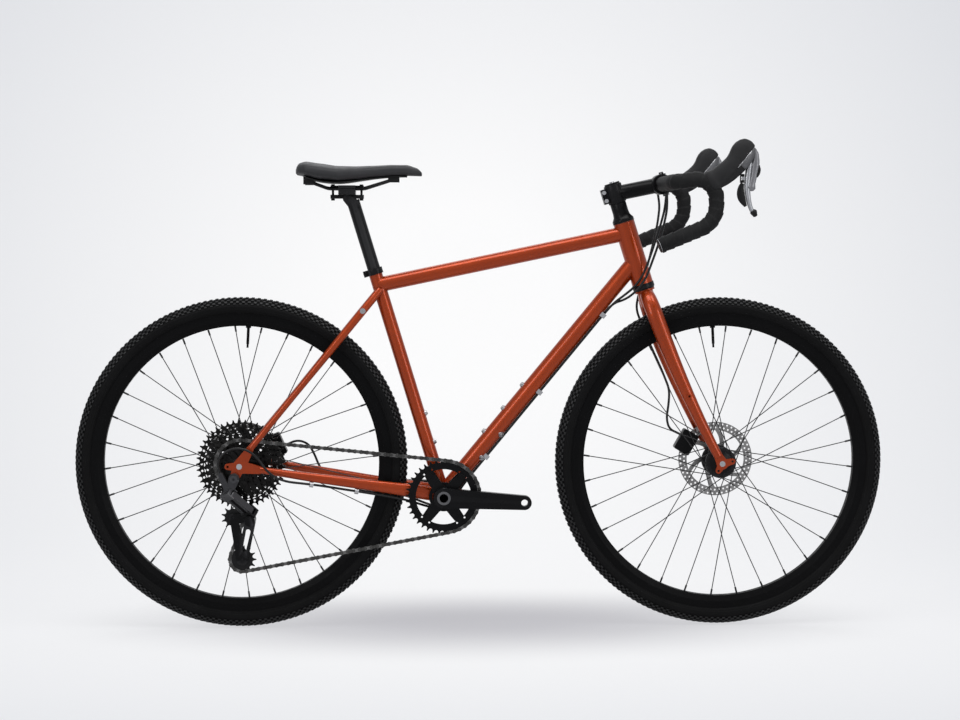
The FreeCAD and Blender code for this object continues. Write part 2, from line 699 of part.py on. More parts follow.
def handlebar():
    right = [shoulder, hook_top, hook_low, grip_end]
    left = [sideways(place, -place.y) for place in reversed(right)]
    bends = [SHOULDER_BEND, HOOK_BEND, GRIP_BEND]
    whole = rounded_path(left + right, [GRIP_BEND, HOOK_BEND, SHOULDER_BEND] + bends)
    bar_radius = v.bar_diameter / 2
    solid = tube_along(whole, bar_radius)
    hollow = tube_along(whole, bar_radius - v.bar_wall)
    clamp_half = v.bar_clamp_width / 2 + 8
    swell = Part.makeCylinder(v.bar_clamp_diameter / 2, 2 * clamp_half, bar_centre - Y * clamp_half, Y)
    taper = 24.0
    for side in (-1, 1):
        start = bar_centre + Y * (side * clamp_half)
        swell = swell.fuse(Part.makeCone(v.bar_clamp_diameter / 2, bar_radius, taper, start, Y * side))
    plug_face = Part.makeCylinder(bar_radius + 2, 3, grip_end, grip_axis * -1)
    plugs = [plug_face, mirrored(plug_face)]
    node("handlebar", feature("handlebar", Part.Compound([solid.fuse(swell).cut(hollow)] + plugs)))

    tape_start = bar_centre - Y * (clamp_half + taper + 2)
    tape_path = rounded_path([tape_start] + right, bends)
    outer = tube_along(tape_path, v.tape_diameter / 2)
    inner = tube_along(tape_path, bar_radius + v.fit_gap)
    tape = outer.cut(inner)
    node("bar_tape", feature("bar_tape", both_sides(tape)))
    return outer


tape_outer = handlebar()

# Brake lever assemblies: rubber hood, nose with its pivot pin, blade and shift paddle
hood_root = hook_top + Vector(-16, 0, -14)
lever_pivot = hook_top + Vector(50, 0, 27)
hood_edge_low = hook_top + Vector(31, 0, 7)
hood_edge_high = hook_top + Vector(76, 0, 62)
paddle_pivot = lever_pivot + Vector(3, 0, -30)
PIVOT_RADIUS = 2.5
LEVER_SLOT = 8.5


EYE_RADIUS = 6.5
EYE_HALF = 5.5
CHEEK_RADIUS = 7.0
CHEEK_FACE = 12.0
PADDLE_PIN = 1.5
PADDLE_LUG = 3.0
# Stations as (forward, up, half tall, half thin), the hood's from its root and the blade's from its pivot
HOOD_SPINE = [(0, 0, 20, 15), (26, 14, 21, 16.5), (50, 28, 19, 17), (62, 48, 20, 17), (72, 70, 16, 15),
              (76, 86, 6, 9)]
BLADE_SPINE = [(18, 13, 4, 5), (16, 0, 6, 6.5), (13, -27, 6.5, 6), (12, -51, 6, 5.5), (15, -74, 5, 5),
               (20, -91, 4.5, 4.5), (28, -103, 4, 4)]
PADDLE_SPINE = [(3, -40, 4, 2.4), (-1, -52, 7, 2.5), (0, -63, 9, 2.5), (4, -76, 7, 2.4), (9, -86, 3, 2)]


def loft_from(origin, spine, grow_tall=0.0, grow_thin=0.0):
    return oval_loft([(origin + Vector(forward, 0, up), tall + grow_tall, thin + grow_thin)
                      for forward, up, tall, thin in spine])


def largest(shape):
    return max(shape.Solids, key=lambda solid: solid.Volume)


def levers():
    y_mid = lever_pivot.y
    grip = largest(loft_from(hood_root, HOOD_SPINE).cut(tape_outer))
    edge = hood_edge_high - hood_edge_low
    edge_frame = frame_of(hood_edge_low, Vector(edge.z, 0, -edge.x), Y)
    reach = 150.0
    ahead = Part.makeBox(reach, reach, 2 * reach, Vector(0, -reach / 2, -reach))
    ahead.Placement = edge_frame.multiply(ahead.Placement)
    eye_room = pin(lever_pivot, EYE_RADIUS + 2.5, y_mid - LEVER_SLOT, y_mid + LEVER_SLOT)
    cheek_room = pin(lever_pivot, CHEEK_RADIUS + v.fit_gap, y_mid - CHEEK_FACE, y_mid + CHEEK_FACE)
    node("brake_hoods", feature("brake_hoods", both_sides(grip.cut(ahead).cut(cheek_room).cut(eye_room))))

    # The nose keeps a thin web against the hood, and a slot where the lever swings
    web = 3.0
    slot = Part.makeBox(reach, 2 * LEVER_SLOT, 2 * reach, Vector(web, -LEVER_SLOT, -reach))
    slot.Placement = edge_frame.multiply(slot.Placement)
    cheeks = [pin(lever_pivot, CHEEK_RADIUS, y_mid - CHEEK_FACE, y_mid - LEVER_SLOT),
              pin(lever_pivot, CHEEK_RADIUS, y_mid + LEVER_SLOT, y_mid + CHEEK_FACE)]
    pivot = pin(lever_pivot, PIVOT_RADIUS, y_mid - CHEEK_FACE, y_mid + CHEEK_FACE)
    nose = grip.common(ahead).cut(slot).cut(eye_room).fuse(cheeks + [pivot])
    node("lever_brackets", feature("lever_brackets", both_sides(nose)))

    eye = bar(lever_pivot, EYE_RADIUS, lever_pivot + Vector(16, 0, -2), 5, y_mid - EYE_HALF, y_mid + EYE_HALF)
    bore = pin(lever_pivot, PIVOT_RADIUS + v.fit_gap, y_mid - CHEEK_FACE, y_mid + CHEEK_FACE)
    lever = loft_from(lever_pivot, BLADE_SPINE).fuse(eye).cut(bore)
    node("left_brake_lever", feature("left_brake_lever", mirrored(lever)))

    # A lug on the right lever carries the paddle's upright pin
    pin_half = 9.0
    lug = bar(paddle_pivot, PADDLE_LUG, paddle_pivot + Vector(9, 0, 0), PADDLE_LUG,
              y_mid - PADDLE_LUG, y_mid + PADDLE_LUG)
    upright = Part.makeCylinder(PADDLE_PIN, 2 * pin_half, paddle_pivot - Z * pin_half, Z)
    node("right_brake_lever", feature("right_brake_lever", lever.fuse([lug, upright])))

    # The paddle holds the pin above and below the lug
    knuckle = Part.makeCylinder(PADDLE_LUG, 2 * pin_half, paddle_pivot - Z * pin_half, Z)
    lug_half = PADDLE_LUG + v.run_gap
    back, inside = PADDLE_LUG + 3, PADDLE_LUG + 1
    yoke = Part.makeBox(back, 2 * PADDLE_PIN, 2 * pin_half, paddle_pivot + Vector(-back, -PADDLE_PIN, -pin_half))
    room = Part.makeBox(30, 40, 2 * lug_half, paddle_pivot + Vector(-inside, -20, -lug_half))
    pin_bore = Part.makeCylinder(PADDLE_PIN + v.fit_gap, 4 * pin_half, paddle_pivot - Z * (2 * pin_half), Z)
    keep_clear = loft_from(lever_pivot, BLADE_SPINE, 0.8, 3)
    paddle = knuckle.fuse([yoke, loft_from(lever_pivot, PADDLE_SPINE)])
    paddle = paddle.cut(room).cut(pin_bore).cut(keep_clear)
    node("right_shift_paddle", feature("right_shift_paddle", largest(paddle)))


levers()


# Wheels
CROSSES = 3
# A spoke outside its flange stands off far enough to lean in over the flange's edge
FLANGE_ROOM = 1.9


def wheel(side_name, axle, flanges, rotor_y, ends, valve_angle):
    """Tyre, rim with valve, spokes with nipples, hub and rotor about one axle."""
    outer = torus(side_name + "_tyre_outer", axle, "tyre_radius - tyre_width / 2", "tyre_width / 2")
    cavity = torus(side_name + "_tyre_cavity", axle, "tyre_radius - tyre_width / 2", "tyre_width / 2 - tyre_wall")
    seat = cylinder(side_name + "_bead_seat", axle - Y * v.tyre_width, Y, "rim_radius + fit_gap", "2 * tyre_width")
    node(side_name + "_tyre", cut(side_name + "_tyre", outer, cavity, seat))

    half, wall = "rim_width / 2", "rim_wall"
    inner, edge = "rim_radius - rim_depth", "rim_radius"
    rim = turned(side_name + "_rim_ring", axle, Y, [
        (edge, "-%s" % half), ("rim_radius - 15", "-%s" % half), (inner, "-7"), (inner, "7"),
        ("rim_radius - 15", half), (edge, half), (edge, "%s - %s" % (half, wall)),
        ("rim_radius - 14", "%s - %s" % (half, wall)), ("%s + %s" % (inner, wall), "6"),
        ("%s + %s" % (inner, wall), "-6"), ("rim_radius - 14", "%s - %s" % (wall, half)),
        (edge, "%s - %s" % (wall, half))])
    rim_inside = v.rim_radius - v.rim_depth
    valve_out = polar(axle, 1, valve_angle) - axle
    valve_foot = axle + valve_out * (rim_inside - v.fit_gap)
    stem_piece = Part.makeCylinder(3, 38, valve_foot, valve_out * -1)
    nut = Part.makeCylinder(5.5, 4, valve_foot, valve_out * -1)
    tip_piece = Part.makeCylinder(2.2, 46, valve_foot, valve_out * -1)
    valve = feature(side_name + "_valve", stem_piece.fuse([nut, tip_piece]).removeSplitter())
    node(side_name + "_rim", group(side_name + "_rim", rim, valve))

    # Three-cross spokes: heads alternate inside and outside each flange
    per_flange = int(v.spoke_count) // 2
    step = 360.0 / per_flange
    phase = valve_angle + step / 4
    face = v.flange_thickness / 2 + v.spoke_diameter / 2 + 0.1
    spokes = []
    holes = []
    for flange_index, flange_y in enumerate(flanges):
        outward = 1 if flange_y > 0 else -1
        for i in range(per_flange):
            lean = 1 if i % 2 else -1
            hole_angle = phase + step * (i + flange_index / 2)
            hole = sideways(polar(axle, v.spoke_circle, hole_angle), flange_y)
            holes.append(pin(hole, v.spoke_diameter / 2 + 0.15, flange_y - 4, flange_y + 4))
            start = sideways(hole, flange_y + outward * (face + FLANGE_ROOM if lean > 0 else -face))
            landing = sideways(polar(axle, rim_inside - 0.6, hole_angle + lean * CROSSES * step), outward * 3.0)
            run = landing - start
            elbow_end = flange_y - outward * lean * (v.flange_thickness / 2 + 1.2)
            straight = Part.makeCylinder(v.spoke_diameter / 2, run.Length, start, run)
            elbow = pin(hole, v.spoke_diameter / 2, min(start.y, elbow_end), max(start.y, elbow_end))
            head = pin(hole, 1.8, elbow_end - 0.5, elbow_end + 0.5)
            nipple = Part.makeCylinder(2, 12, landing, run * -1)
            corner = Part.makeSphere(v.spoke_diameter / 2, start)
            spokes.append(straight.fuse([elbow, head, nipple, corner]))
    node(side_name + "_spokes", feature(side_name + "_spokes", Part.Compound(spokes)))

    left, right = max(flanges), min(flanges)
    thick = v.flange_thickness / 2
    shoulder_y = rotor_y - v.rotor_thickness / 2
    bore = "axle_diameter / 2 + fit_gap"
    mount, flange, root = "rotor_bore / 2 - fit_gap", "flange_radius", "spoke_circle - 6"
    hub = turned(side_name + "_hub_shell", axle, Y, [
        (bore, ends[0]), ("13", ends[0]), ("13", right - thick - 4), (root, right - thick), (flange, right - thick),
        (flange, right + thick), (root, right + thick), ("13", right + thick + 12), ("13", left - thick - 12),
        (root, left - thick), (flange, left - thick), (flange, left + thick), (root, left + thick),
        ("rotor_bore / 2 + 3", left + thick + 3),
        ("rotor_bore / 2 + 3", shoulder_y - v.fit_gap), (mount, shoulder_y - v.fit_gap),
        (mount, shoulder_y + 6), ("12", shoulder_y + 6), ("12", ends[1]), (bore, ends[1])])
    drilled = cut(side_name + "_hub", hub, feature(side_name + "_spoke_holes", Part.Compound(holes)))
    node(side_name + "_hub", drilled)
    node(side_name + "_rotor", feature(side_name + "_rotor", rotor(axle, rotor_y)))


def rotor(axle, y):
    """Brake disc: a drilled band carried on six swept arms by a splined carrier, and its lockring."""
    low, high = y - v.rotor_thickness / 2, y + v.rotor_thickness / 2
    outside, inside = v.rotor_diameter / 2, v.rotor_diameter / 2 - v.rotor_band
    carrier = v.rotor_bore / 2
    band = pin(axle, outside, low, high).cut(pin(axle, inside, low, high))
    arms = [bar(polar(axle, carrier + 7, 60 * i), 4.5, polar(axle, inside + 2, 60 * i + 24), 3, low, high)
            for i in range(6)]
    centre = pin(axle, carrier + 10, low, high)
    disc = band.fuse(arms + [centre])
    drills = [pin(axle, carrier, low, high)]
    hole_count = 36
    for i in range(hole_count):
        row = inside + v.rotor_band * (0.3, 0.7)[i % 2]
        drills.append(pin(polar(axle, row, 360 * i / hole_count), 2.3, low, high))
    lock = pin(axle, carrier + 4, high + v.fit_gap, high + 3).cut(pin(axle, 13, high, high + 4))
    lock = lock.cut(pin(axle, carrier, high, high + 4))
    return Part.Compound([disc.cut(Part.Compound(drills)), lock])


front_rotor_y = front_inside - 10.5
rear_rotor_y = rear_inside - 15.5
front_end = front_inside - v.run_gap
wheel("front", front_axle, (22.0, -33.0), front_rotor_y, (-front_end, front_end), 93)
wheel("rear", rear_axle, (36.0, -20.0), rear_rotor_y, (-26.0, rear_inside - v.run_gap), 87)

# Drivetrain


def pitch_radius(teeth):
    return v.chain_pitch / (2 * math.sin(math.pi / teeth))


def sprocket_face(centre, teeth, phase):
    """Toothed outline with a round seat at each roller, the first at the phase angle."""
    seat = v.roller_diameter / 2 + 0.45
    radius = pitch_radius(teeth)
    step = 360.0 / teeth
    tip_radius = radius + 3.2
    tip_half = math.degrees(0.9 / tip_radius)
    edges = []
    for i in range(int(teeth)):
        middle = phase + i * step
        roller = polar(centre, radius, middle)
        start = polar(roller, seat, middle + 180 + 55)
        bottom = polar(roller, seat, middle + 180)
        end = polar(roller, seat, middle + 180 - 55)
        tip_start = polar(centre, tip_radius, middle + step / 2 - tip_half)
        tip_end = polar(centre, tip_radius, middle + step / 2 + tip_half)
        next_roller = polar(centre, radius, middle + step)
        next_start = polar(next_roller, seat, middle + step + 180 + 55)
        edges.append(Part.Arc(start, bottom, end).toShape())
        edges.append(Part.LineSegment(end, tip_start).toShape())
        edges.append(Part.LineSegment(tip_start, tip_end).toShape())
        edges.append(Part.LineSegment(tip_end, next_start).toShape())
    return Part.Face(Part.Wire(edges))


def sprocket(centre, teeth, phase, y, thickness):
    face = sprocket_face(sideways(centre, y - thickness / 2), teeth, phase)
    return face.extrude(Y * thickness)


# Chain path in side view: each wheel as (centre, teeth, sense), sense +1 where the top moves forward
cage_pivot = rear_axle + Vector(21, 0, -115)
guide_rest = cage_pivot + Vector(-36, 0, 4)
tension_rest = cage_pivot + Vector(-18, 0, -85)


def turned_about(place, centre, angle):
    return Rotation(Y, angle).multVec(place - centre) + centre


def chain_loop(cage_turn):
    return [(rear_axle, v.chained_cog, 1), (bracket, v.chainring_teeth, 1),
            (turned_about(tension_rest, cage_pivot, cage_turn), v.tension_teeth, 1),
            (turned_about(guide_rest, cage_pivot, cage_turn), v.guide_teeth, -1)]


def tangent(first, second):
    """Where the chain leaves one wheel and meets the next, and its direction in degrees."""
    (a, a_teeth, a_sense), (b, b_teeth, b_sense) = first, second
    run = b - a
    ra, rb = pitch_radius(a_teeth) * a_sense, pitch_radius(b_teeth) * b_sense
    heading = math.degrees(math.atan2(run.z, run.x) + math.asin((rb - ra) / run.Length))
    return polar(a, ra, heading + 90), polar(b, rb, heading + 90), heading


def chain_spans(cage_turn):
    """The loop as wrapped wheels and straight runs, with lengths counted in links."""
    loop = chain_loop(cage_turn)
    runs = [tangent(loop[i], loop[(i + 1) % 4]) for i in range(4)]
    spans = []
    for i, (centre, teeth, sense) in enumerate(loop):
        arrive, leave = runs[i - 1][2], runs[i][2]
        wrap = ((arrive - leave) * sense) % 360
        spans.append(("wheel", centre, teeth, sense, arrive, wrap * teeth / 360))
        spans.append(("run", runs[i][0], runs[i][1], (runs[i][1] - runs[i][0]).Length / v.chain_pitch))
    return spans


def links_needed(cage_turn):
    return sum(span[-1] for span in chain_spans(cage_turn))


def close_chain():
    """Turns the sprung cage until the loop holds a whole, even number of links."""
    links = 2 * round(links_needed(0) / 2)
    low, high = -30.0, 30.0
    rising = links_needed(high) > links_needed(low)
    for _ in range(60):
        middle = (low + high) / 2
        if (links_needed(middle) > links) == rising:
            high = middle
        else:
            low = middle
    return links, middle


def chain_point(spans, count):
    """Roller centre after a number of links round the loop."""
    for span in spans:
        if count <= span[-1]:
            break
        count -= span[-1]
    if span[0] == "run":
        return span[1] + (span[2] - span[1]) * (count / span[3])
    _, centre, teeth, sense, arrive, _ = span
    return polar(centre, pitch_radius(teeth) * sense, arrive + 90 - sense * count * 360 / teeth)


chain_links, cage_turn = close_chain()
SPANS = chain_spans(cage_turn)
ROLLERS = [chain_point(SPANS, i) for i in range(chain_links)]
guide_centre = turned_about(guide_rest, cage_pivot, cage_turn)
tension_centre = turned_about(tension_rest, cage_pivot, cage_turn)
print("chain links %d, cage turned %.2f" % (chain_links, cage_turn))


def phase_on(centre, teeth):
    """Angle of the roller that sits deepest on a wheel."""
    roller = min(ROLLERS, key=lambda r: abs((r - centre).Length - pitch_radius(teeth)))
    away = roller - centre
    return math.degrees(math.atan2(away.z, away.x))


def link_face(first, second, y):
    """Waisted side plate round two rollers."""
    first, second = sideways(first, y), sideways(second, y)
    run = second - first
    lean = math.degrees(math.atan2(run.z, run.x))
    half = 4.2
    waist = 3.2
    middle = (first + second) * 0.5
    a, b = polar(first, half, lean + 62), polar(first, half, lean - 62)
    c, d = polar(second, half, lean + 180 + 62), polar(second, half, lean + 180 - 62)
    edges = [
        Part.Arc(a, polar(first, half, lean + 180), b).toShape(),
        Part.Arc(b, polar(middle, waist, lean - 90), c).toShape(),
        Part.Arc(c, polar(second, half, lean), d).toShape(),
        Part.Arc(d, polar(middle, waist, lean + 90), a).toShape(),
    ]
    return Part.Face(Part.Wire(edges))


def chain():
    plate = 0.7
    inner_face = 1.1
    outer_face = inner_face + plate + 0.1
    pin_half = outer_face + plate + 0.1
    pin_radius = 1.7
    roller = v.roller_diameter / 2
    links = []
    for i in range(chain_links):
        first, second = ROLLERS[i], ROLLERS[(i + 1) % chain_links]
        face = outer_face if i % 2 else inner_face
        plates = [link_face(first, second, -v.chain_line + face).extrude(Y * plate),
                  link_face(first, second, -v.chain_line - face).extrude(Y * -plate)]
        y_low, y_high = -v.chain_line - pin_half, -v.chain_line + pin_half
        if i % 2:
            pins = [pin(end, pin_radius, y_low, y_high) for end in (first, second)]
            links.append(plates[0].fuse(plates[1:] + pins))
        else:
            inside = [pin(end, roller, -v.chain_line - inner_face, -v.chain_line + inner_face)
                      for end in (first, second)]
            bores = [pin(end, pin_radius + 0.1, y_low, y_high) for end in (first, second)]
            links.append(plates[0].fuse(plates[1:] + inside).cut(Part.Compound(bores)))
    node("chain", feature("chain", Part.Compound(links)))


chain()

COGS = (11, 13, 15, 17, 20, 23, 26, 30, 34, 39, 45)


def cassette():
    chained = COGS.index(int(v.chained_cog))
    bore = v.freehub_diameter / 2 + v.fit_gap
    discs = []
    for i, teeth in enumerate(COGS):
        y = -v.chain_line + (i - chained) * v.cog_spacing
        phase = phase_on(rear_axle, teeth) if i == chained else 90.0 + 7 * i
        cog = sprocket(rear_axle, teeth, phase, y, v.cog_thickness)
        low, high = y - v.cog_thickness / 2, y + v.cog_thickness / 2
        cuts = [pin(rear_axle, bore, low, high)]
        root = pitch_radius(teeth) - v.roller_diameter / 2
        if teeth >= 26:
            windows = 8
            window = min(8.0, (root - 34) / 2)
            for k in range(windows):
                cuts.append(pin(polar(rear_axle, root - 4 - window, 360 * k / windows + 9 * i), window, low, high))
        discs.append(cog.cut(Part.Compound(cuts)))
        if i + 1 < len(COGS):
            ring = pin(rear_axle, bore + 3.5, high, high + v.cog_spacing - v.cog_thickness)
            discs.append(ring.cut(pin(rear_axle, bore, high, high + v.cog_spacing)))
    node("cassette_sprockets", feature("cassette_sprockets", Part.Compound(discs)))

    inboard = "-26 - run_gap"
    outboard = "run_gap - rear_spacing / 2"
    axle_bore, splines = "axle_diameter / 2 + fit_gap", "freehub_diameter / 2"
    node("freehub_body", turned("freehub_body", rear_axle, Y, [
        (axle_bore, outboard), (splines, outboard), (splines, inboard), (axle_bore, inboard)]))


cassette()


def cranks():
    """Right arm with spider and spindle, left arm, and the chainring."""
    tip = polar(bracket, v.crank_length, v.crank_angle)
    hub, end = v.crank_hub_diameter / 2, v.crank_tip_diameter / 2
    inner = v.shell_width / 2 + 10.5 + v.run_gap
    outer = inner + 26
    spindle = v.spindle_diameter / 2
    thread = v.pedal_thread / 2
    boss = pin(bracket, hub, -outer, -inner)
    arm = bar(bracket, hub, tip, end, -outer, -outer + v.crank_thickness)
    spider_y = -v.chain_line - 2.4
    spider = [bar(bracket, 17, polar(bracket, v.bolt_circle / 2, angle), 7.5, spider_y - 5, spider_y)
              for angle in SPIDER_ANGLES]
    shaft = pin(bracket, spindle, -outer + 2, outer - 4)
    hollow = pin(bracket, spindle - 3, -outer, outer)
    dish = pin(bracket, spindle + 2.5, -outer, -outer + 2)
    solid = boss.fuse([arm, shaft] + spider).cut(Part.Compound([hollow, dish, pin(tip, thread, -outer, -inner)]))
    bolt_places = [polar(bracket, v.bolt_circle / 2, angle) for angle in SPIDER_ANGLES]
    solid = solid.cut(Part.Compound([pin(place, 4.1, spider_y - 6, spider_y + 1) for place in bolt_places]))
    node("right_crank_arm", feature("right_crank_arm", solid.removeSplitter()))

    left_tip = polar(bracket, v.crank_length, v.crank_angle + 180)
    left = pin(bracket, hub, inner, outer)
    left = left.fuse(bar(bracket, hub, left_tip, end, outer - v.crank_thickness, outer))
    left = left.cut(Part.Compound([pin(bracket, spindle + v.fit_gap, inner, outer - 4 + v.fit_gap),
                                   pin(left_tip, thread, inner, outer)]))
    node("left_crank_arm", feature("left_crank_arm", left.removeSplitter()))

    thickness = 1.8
    low, high = -v.chain_line - thickness / 2, -v.chain_line + thickness / 2
    ring = sprocket(bracket, v.chainring_teeth, phase_on(bracket, v.chainring_teeth), -v.chain_line, thickness)
    ring_inside = pitch_radius(v.chainring_teeth) - 11
    ring = ring.cut(pin(bracket, ring_inside, low, high))
    tabs = [bar(place, 8, polar(bracket, ring_inside + 1, angle), 4, spider_y + v.fit_gap, high)
            for place, angle in zip(bolt_places, SPIDER_ANGLES)]
    ring = ring.fuse(tabs).cut(Part.Compound([pin(place, 4.1, spider_y, high) for place in bolt_places]))
    bolts = []
    for place in bolt_places:
        shank = pin(place, 4, spider_y - 5, high)
        heads = [pin(place, 6, spider_y - 7, spider_y - 5 - v.fit_gap), pin(place, 6, high + v.fit_gap, high + 1.5)]
        bolts.append(pin(place, 4, spider_y - 6, high + 1).fuse([shank] + heads).removeSplitter())
    node("chainring", feature("chainring", Part.Compound([ring.removeSplitter()] + bolts)))


SPIDER_ANGLES = (49, 122, 232, 306)
cranks()

# Rear derailleur: a slanted parallelogram from the hanger to the cage
link_foot = hanger_eye + Vector(-9, -rear_outside - 6, -35)
link_head = cage_pivot + Vector(-3, -66, 19)
link_run = link_head - link_foot
link_length = link_run.Length
link_axis = unit(link_run)
swing = Vector(0, 1, -1)
swing = unit(swing - link_axis * swing.dot(link_axis))
link_frame = frame_of(link_foot, link_axis, swing)
LINK_HALF_SPREAD = 9.0
LINK_HALF_HEIGHT = 7.0
LINK_PIN = 2.0
# The housing enters the top of a stop that reaches up behind the hanger
STOP_RADIUS = 5.0
arm_from = hanger_eye + Vector(-4, 0, -14)
stop_foot = hanger_eye + Vector(-15, 0, -19)
stop_end = hanger_eye + Vector(-27, 0, 8)
stop_axis = unit(stop_end - stop_foot)
housing_stop = sideways(stop_end + stop_axis * (STOP_RADIUS + 2 * v.run_gap), -rear_outside - 8.5)


def in_links(shape):
    """Moves a shape drawn in the parallelogram's own frame to its place on the bike."""
    shape.Placement = link_frame.multiply(shape.Placement)
    return shape


def local_box(x0, x1, y0, y1, z0, z1):
    return Part.makeBox(x1 - x0, y1 - y0, z1 - z0, Vector(x0, y0, z0))


def local_pin(x, y, radius, half):
    return Part.makeCylinder(radius, 2 * half, Vector(x, y, -half), Z)


def clevis(x, away):
    """Two lugs over and under the links, joined by a web, with the two pivot pins."""
    lug = LINK_HALF_HEIGHT + v.run_gap
    side = LINK_HALF_SPREAD + 5
    web = [x + away * 6, x + away * 13]
    lug_ends = sorted([x - away * 5, x + away * 13])
    pieces = [local_box(min(web), max(web), -side, side, -lug - 3, lug + 3)]
    for level in (-1, 1):
        z = sorted([level * lug, level * (lug + 3)])
        pieces.append(local_box(lug_ends[0], lug_ends[1], -side, side, z[0], z[1]))
    for y in (-LINK_HALF_SPREAD, LINK_HALF_SPREAD):
        pieces.append(local_pin(x, y, LINK_PIN, lug + 3))
    return pieces[0].fuse(pieces[1:])


def link(y, far_gap):
    outline = local_box(0, link_length, y - 4, y + 4, -LINK_HALF_HEIGHT, LINK_HALF_HEIGHT)
    ends = [local_pin(x, y, 4, LINK_HALF_HEIGHT) for x in (0, link_length)]
    holes = [local_pin(0, y, LINK_PIN + v.fit_gap, 20), local_pin(link_length, y, LINK_PIN + far_gap, 20)]
    return in_links(outline.fuse(ends).cut(Part.Compound(holes)).removeSplitter())


def derailleur():
    mount = in_links(clevis(0, -1))
    arm = bar(hanger_eye, 11, arm_from, 9, -rear_outside - 15, -rear_outside - v.fit_gap)
    bolt_head = pin(hanger_eye, 8, -rear_outside - 19, -rear_outside - 15)
    bolt = pin(hanger_eye, hanger_bolt_radius, -rear_outside - 15, -rear_inside)
    socket = pin(hanger_eye, 2.6, -rear_outside - 20, -rear_outside - 15)
    stop = bar(stop_foot, 6.5, stop_end, STOP_RADIUS, -rear_outside - 15, -rear_outside - 2)
    body = mount.fuse([arm, stop, bolt_head, bolt]).cut(socket).removeSplitter()
    node("derailleur_mount", feature("derailleur_mount", body))
    node("derailleur_outer_link", feature("derailleur_outer_link", link(-LINK_HALF_SPREAD, v.fit_gap)))
    node("derailleur_inner_link", feature("derailleur_inner_link", link(LINK_HALF_SPREAD, v.run_gap)))

    plate_gap = 4.0
    plate = 2.0
    outer_low = -v.chain_line - plate_gap - plate
    cage_side = Part.makeBox(200, 200, 200, cage_pivot + Vector(-100, outer_low - v.run_gap, -100))
    knuckle = in_links(clevis(link_length, 1)).cut(cage_side)
    boss = pin(cage_pivot, 11, -78, outer_low - v.run_gap)
    stub = pin(cage_pivot, 5, outer_low - 3, outer_low + plate)
    node("derailleur_knuckle", feature("derailleur_knuckle", knuckle.fuse([boss, stub]).removeSplitter()))

    # Cage: two plates joined by the pulley bolts, the outer one carried on the knuckle's stub
    axle_radius = 2.5
    plates = []
    for y in (outer_low, -v.chain_line + plate_gap):
        shape = bar(guide_centre, 9, cage_pivot, 11, y, y + plate)
        shape = shape.fuse([bar(cage_pivot, 11, tension_centre, 12, y, y + plate),
                            bar(guide_centre, 8, tension_centre, 12, y, y + plate)])
        slot_top = cage_pivot + (tension_centre - cage_pivot) * 0.3
        slot_low = cage_pivot + (tension_centre - cage_pivot) * 0.75
        shape = shape.cut(bar(slot_top, 5, slot_low, 4, y, y + plate))
        plates.append(shape)
    plates[0] = plates[0].cut(pin(cage_pivot, 5 + v.fit_gap, outer_low, outer_low + plate))
    plates[1] = plates[1].cut(pin(cage_pivot, 7, -v.chain_line, -v.chain_line + 10))
    axle_end = 0.5
    axles = [pin(place, axle_radius, outer_low - axle_end, -v.chain_line + plate_gap + plate + axle_end)
             for place in (guide_centre, tension_centre)]
    node("derailleur_cage", feature("derailleur_cage", plates[0].fuse(plates[1:] + axles).removeSplitter()))
    for name, place, teeth in (("guide_pulley", guide_centre, v.guide_teeth),
                               ("tension_pulley", tension_centre, v.tension_teeth)):
        wheel_solid = sprocket(place, teeth, phase_on(place, teeth), -v.chain_line, v.pulley_thickness)
        hub_half = plate_gap - v.run_gap
        hub_solid = pin(place, 8, -v.chain_line - hub_half, -v.chain_line + hub_half)
        axle_bore = pin(place, axle_radius + v.fit_gap, -v.chain_line - plate_gap, -v.chain_line + plate_gap)
        node(name, feature(name, wheel_solid.fuse(hub_solid).cut(axle_bore).removeSplitter()))


derailleur()


# Brakes: each caliper straddles its rotor's edge and sits on the fork blade or the chainstay
FRONT_CALIPER_ANGLE = 150
REAR_CALIPER_ANGLE = 24
CALIPER_OUTER = 92.0
CALIPER_INNER = 56.0
CALIPER_HALF_LENGTH = 24.0
CALIPER_HALF_WIDTH = 13.0
ROTOR_ROOM = 5.5


def caliper_frame(axle, angle, y):
    outward = unit(polar(axle, 1, angle) - axle)
    return frame_of(sideways(axle, y), outward, Vector(-outward.z, 0, outward.x))


def caliper(axle, angle, y, carrier, foot):
    """Caliper body over the rotor's edge with its two pads, trimmed to what carries it."""
    place = caliper_frame(axle, angle, y)
    length, width = 2 * CALIPER_HALF_LENGTH, 2 * CALIPER_HALF_WIDTH
    body = Part.makeBox(CALIPER_OUTER - CALIPER_INNER, length, width,
                        Vector(CALIPER_INNER, -CALIPER_HALF_LENGTH, -CALIPER_HALF_WIDTH))
    corners = [edge for edge in body.Edges if abs(edge.Length - width) < 0.01]
    body = body.makeFillet(4, corners)
    if foot:
        body = body.fuse(Part.makeBox(22, 20, 12, Vector(CALIPER_INNER, -40, -CALIPER_HALF_WIDTH)))
    slot = Part.makeBox(v.rotor_diameter / 2 + 4 - 40, 2 * length, 2 * ROTOR_ROOM, Vector(40, -length, -ROTOR_ROOM))
    pads = [Part.makeBox(20, 26, 3.8, Vector(58, -13, low)) for low in (1.4, -5.2)]
    pieces = [body.cut(slot)] + pads
    for piece in pieces:
        piece.Placement = place.multiply(piece.Placement)
    pieces[0] = largest(pieces[0].cut(carrier))
    return Part.Compound(pieces)


def brakes():
    front = caliper(front_axle, FRONT_CALIPER_ANGLE, front_rotor_y, blade_solid, False)
    node("front_brake_caliper", feature("front_brake_caliper", front))
    rear = caliper(rear_axle, REAR_CALIPER_ANGLE, rear_rotor_y, stays.solid, True)
    node("rear_brake_caliper", feature("rear_brake_caliper", rear))


brakes()


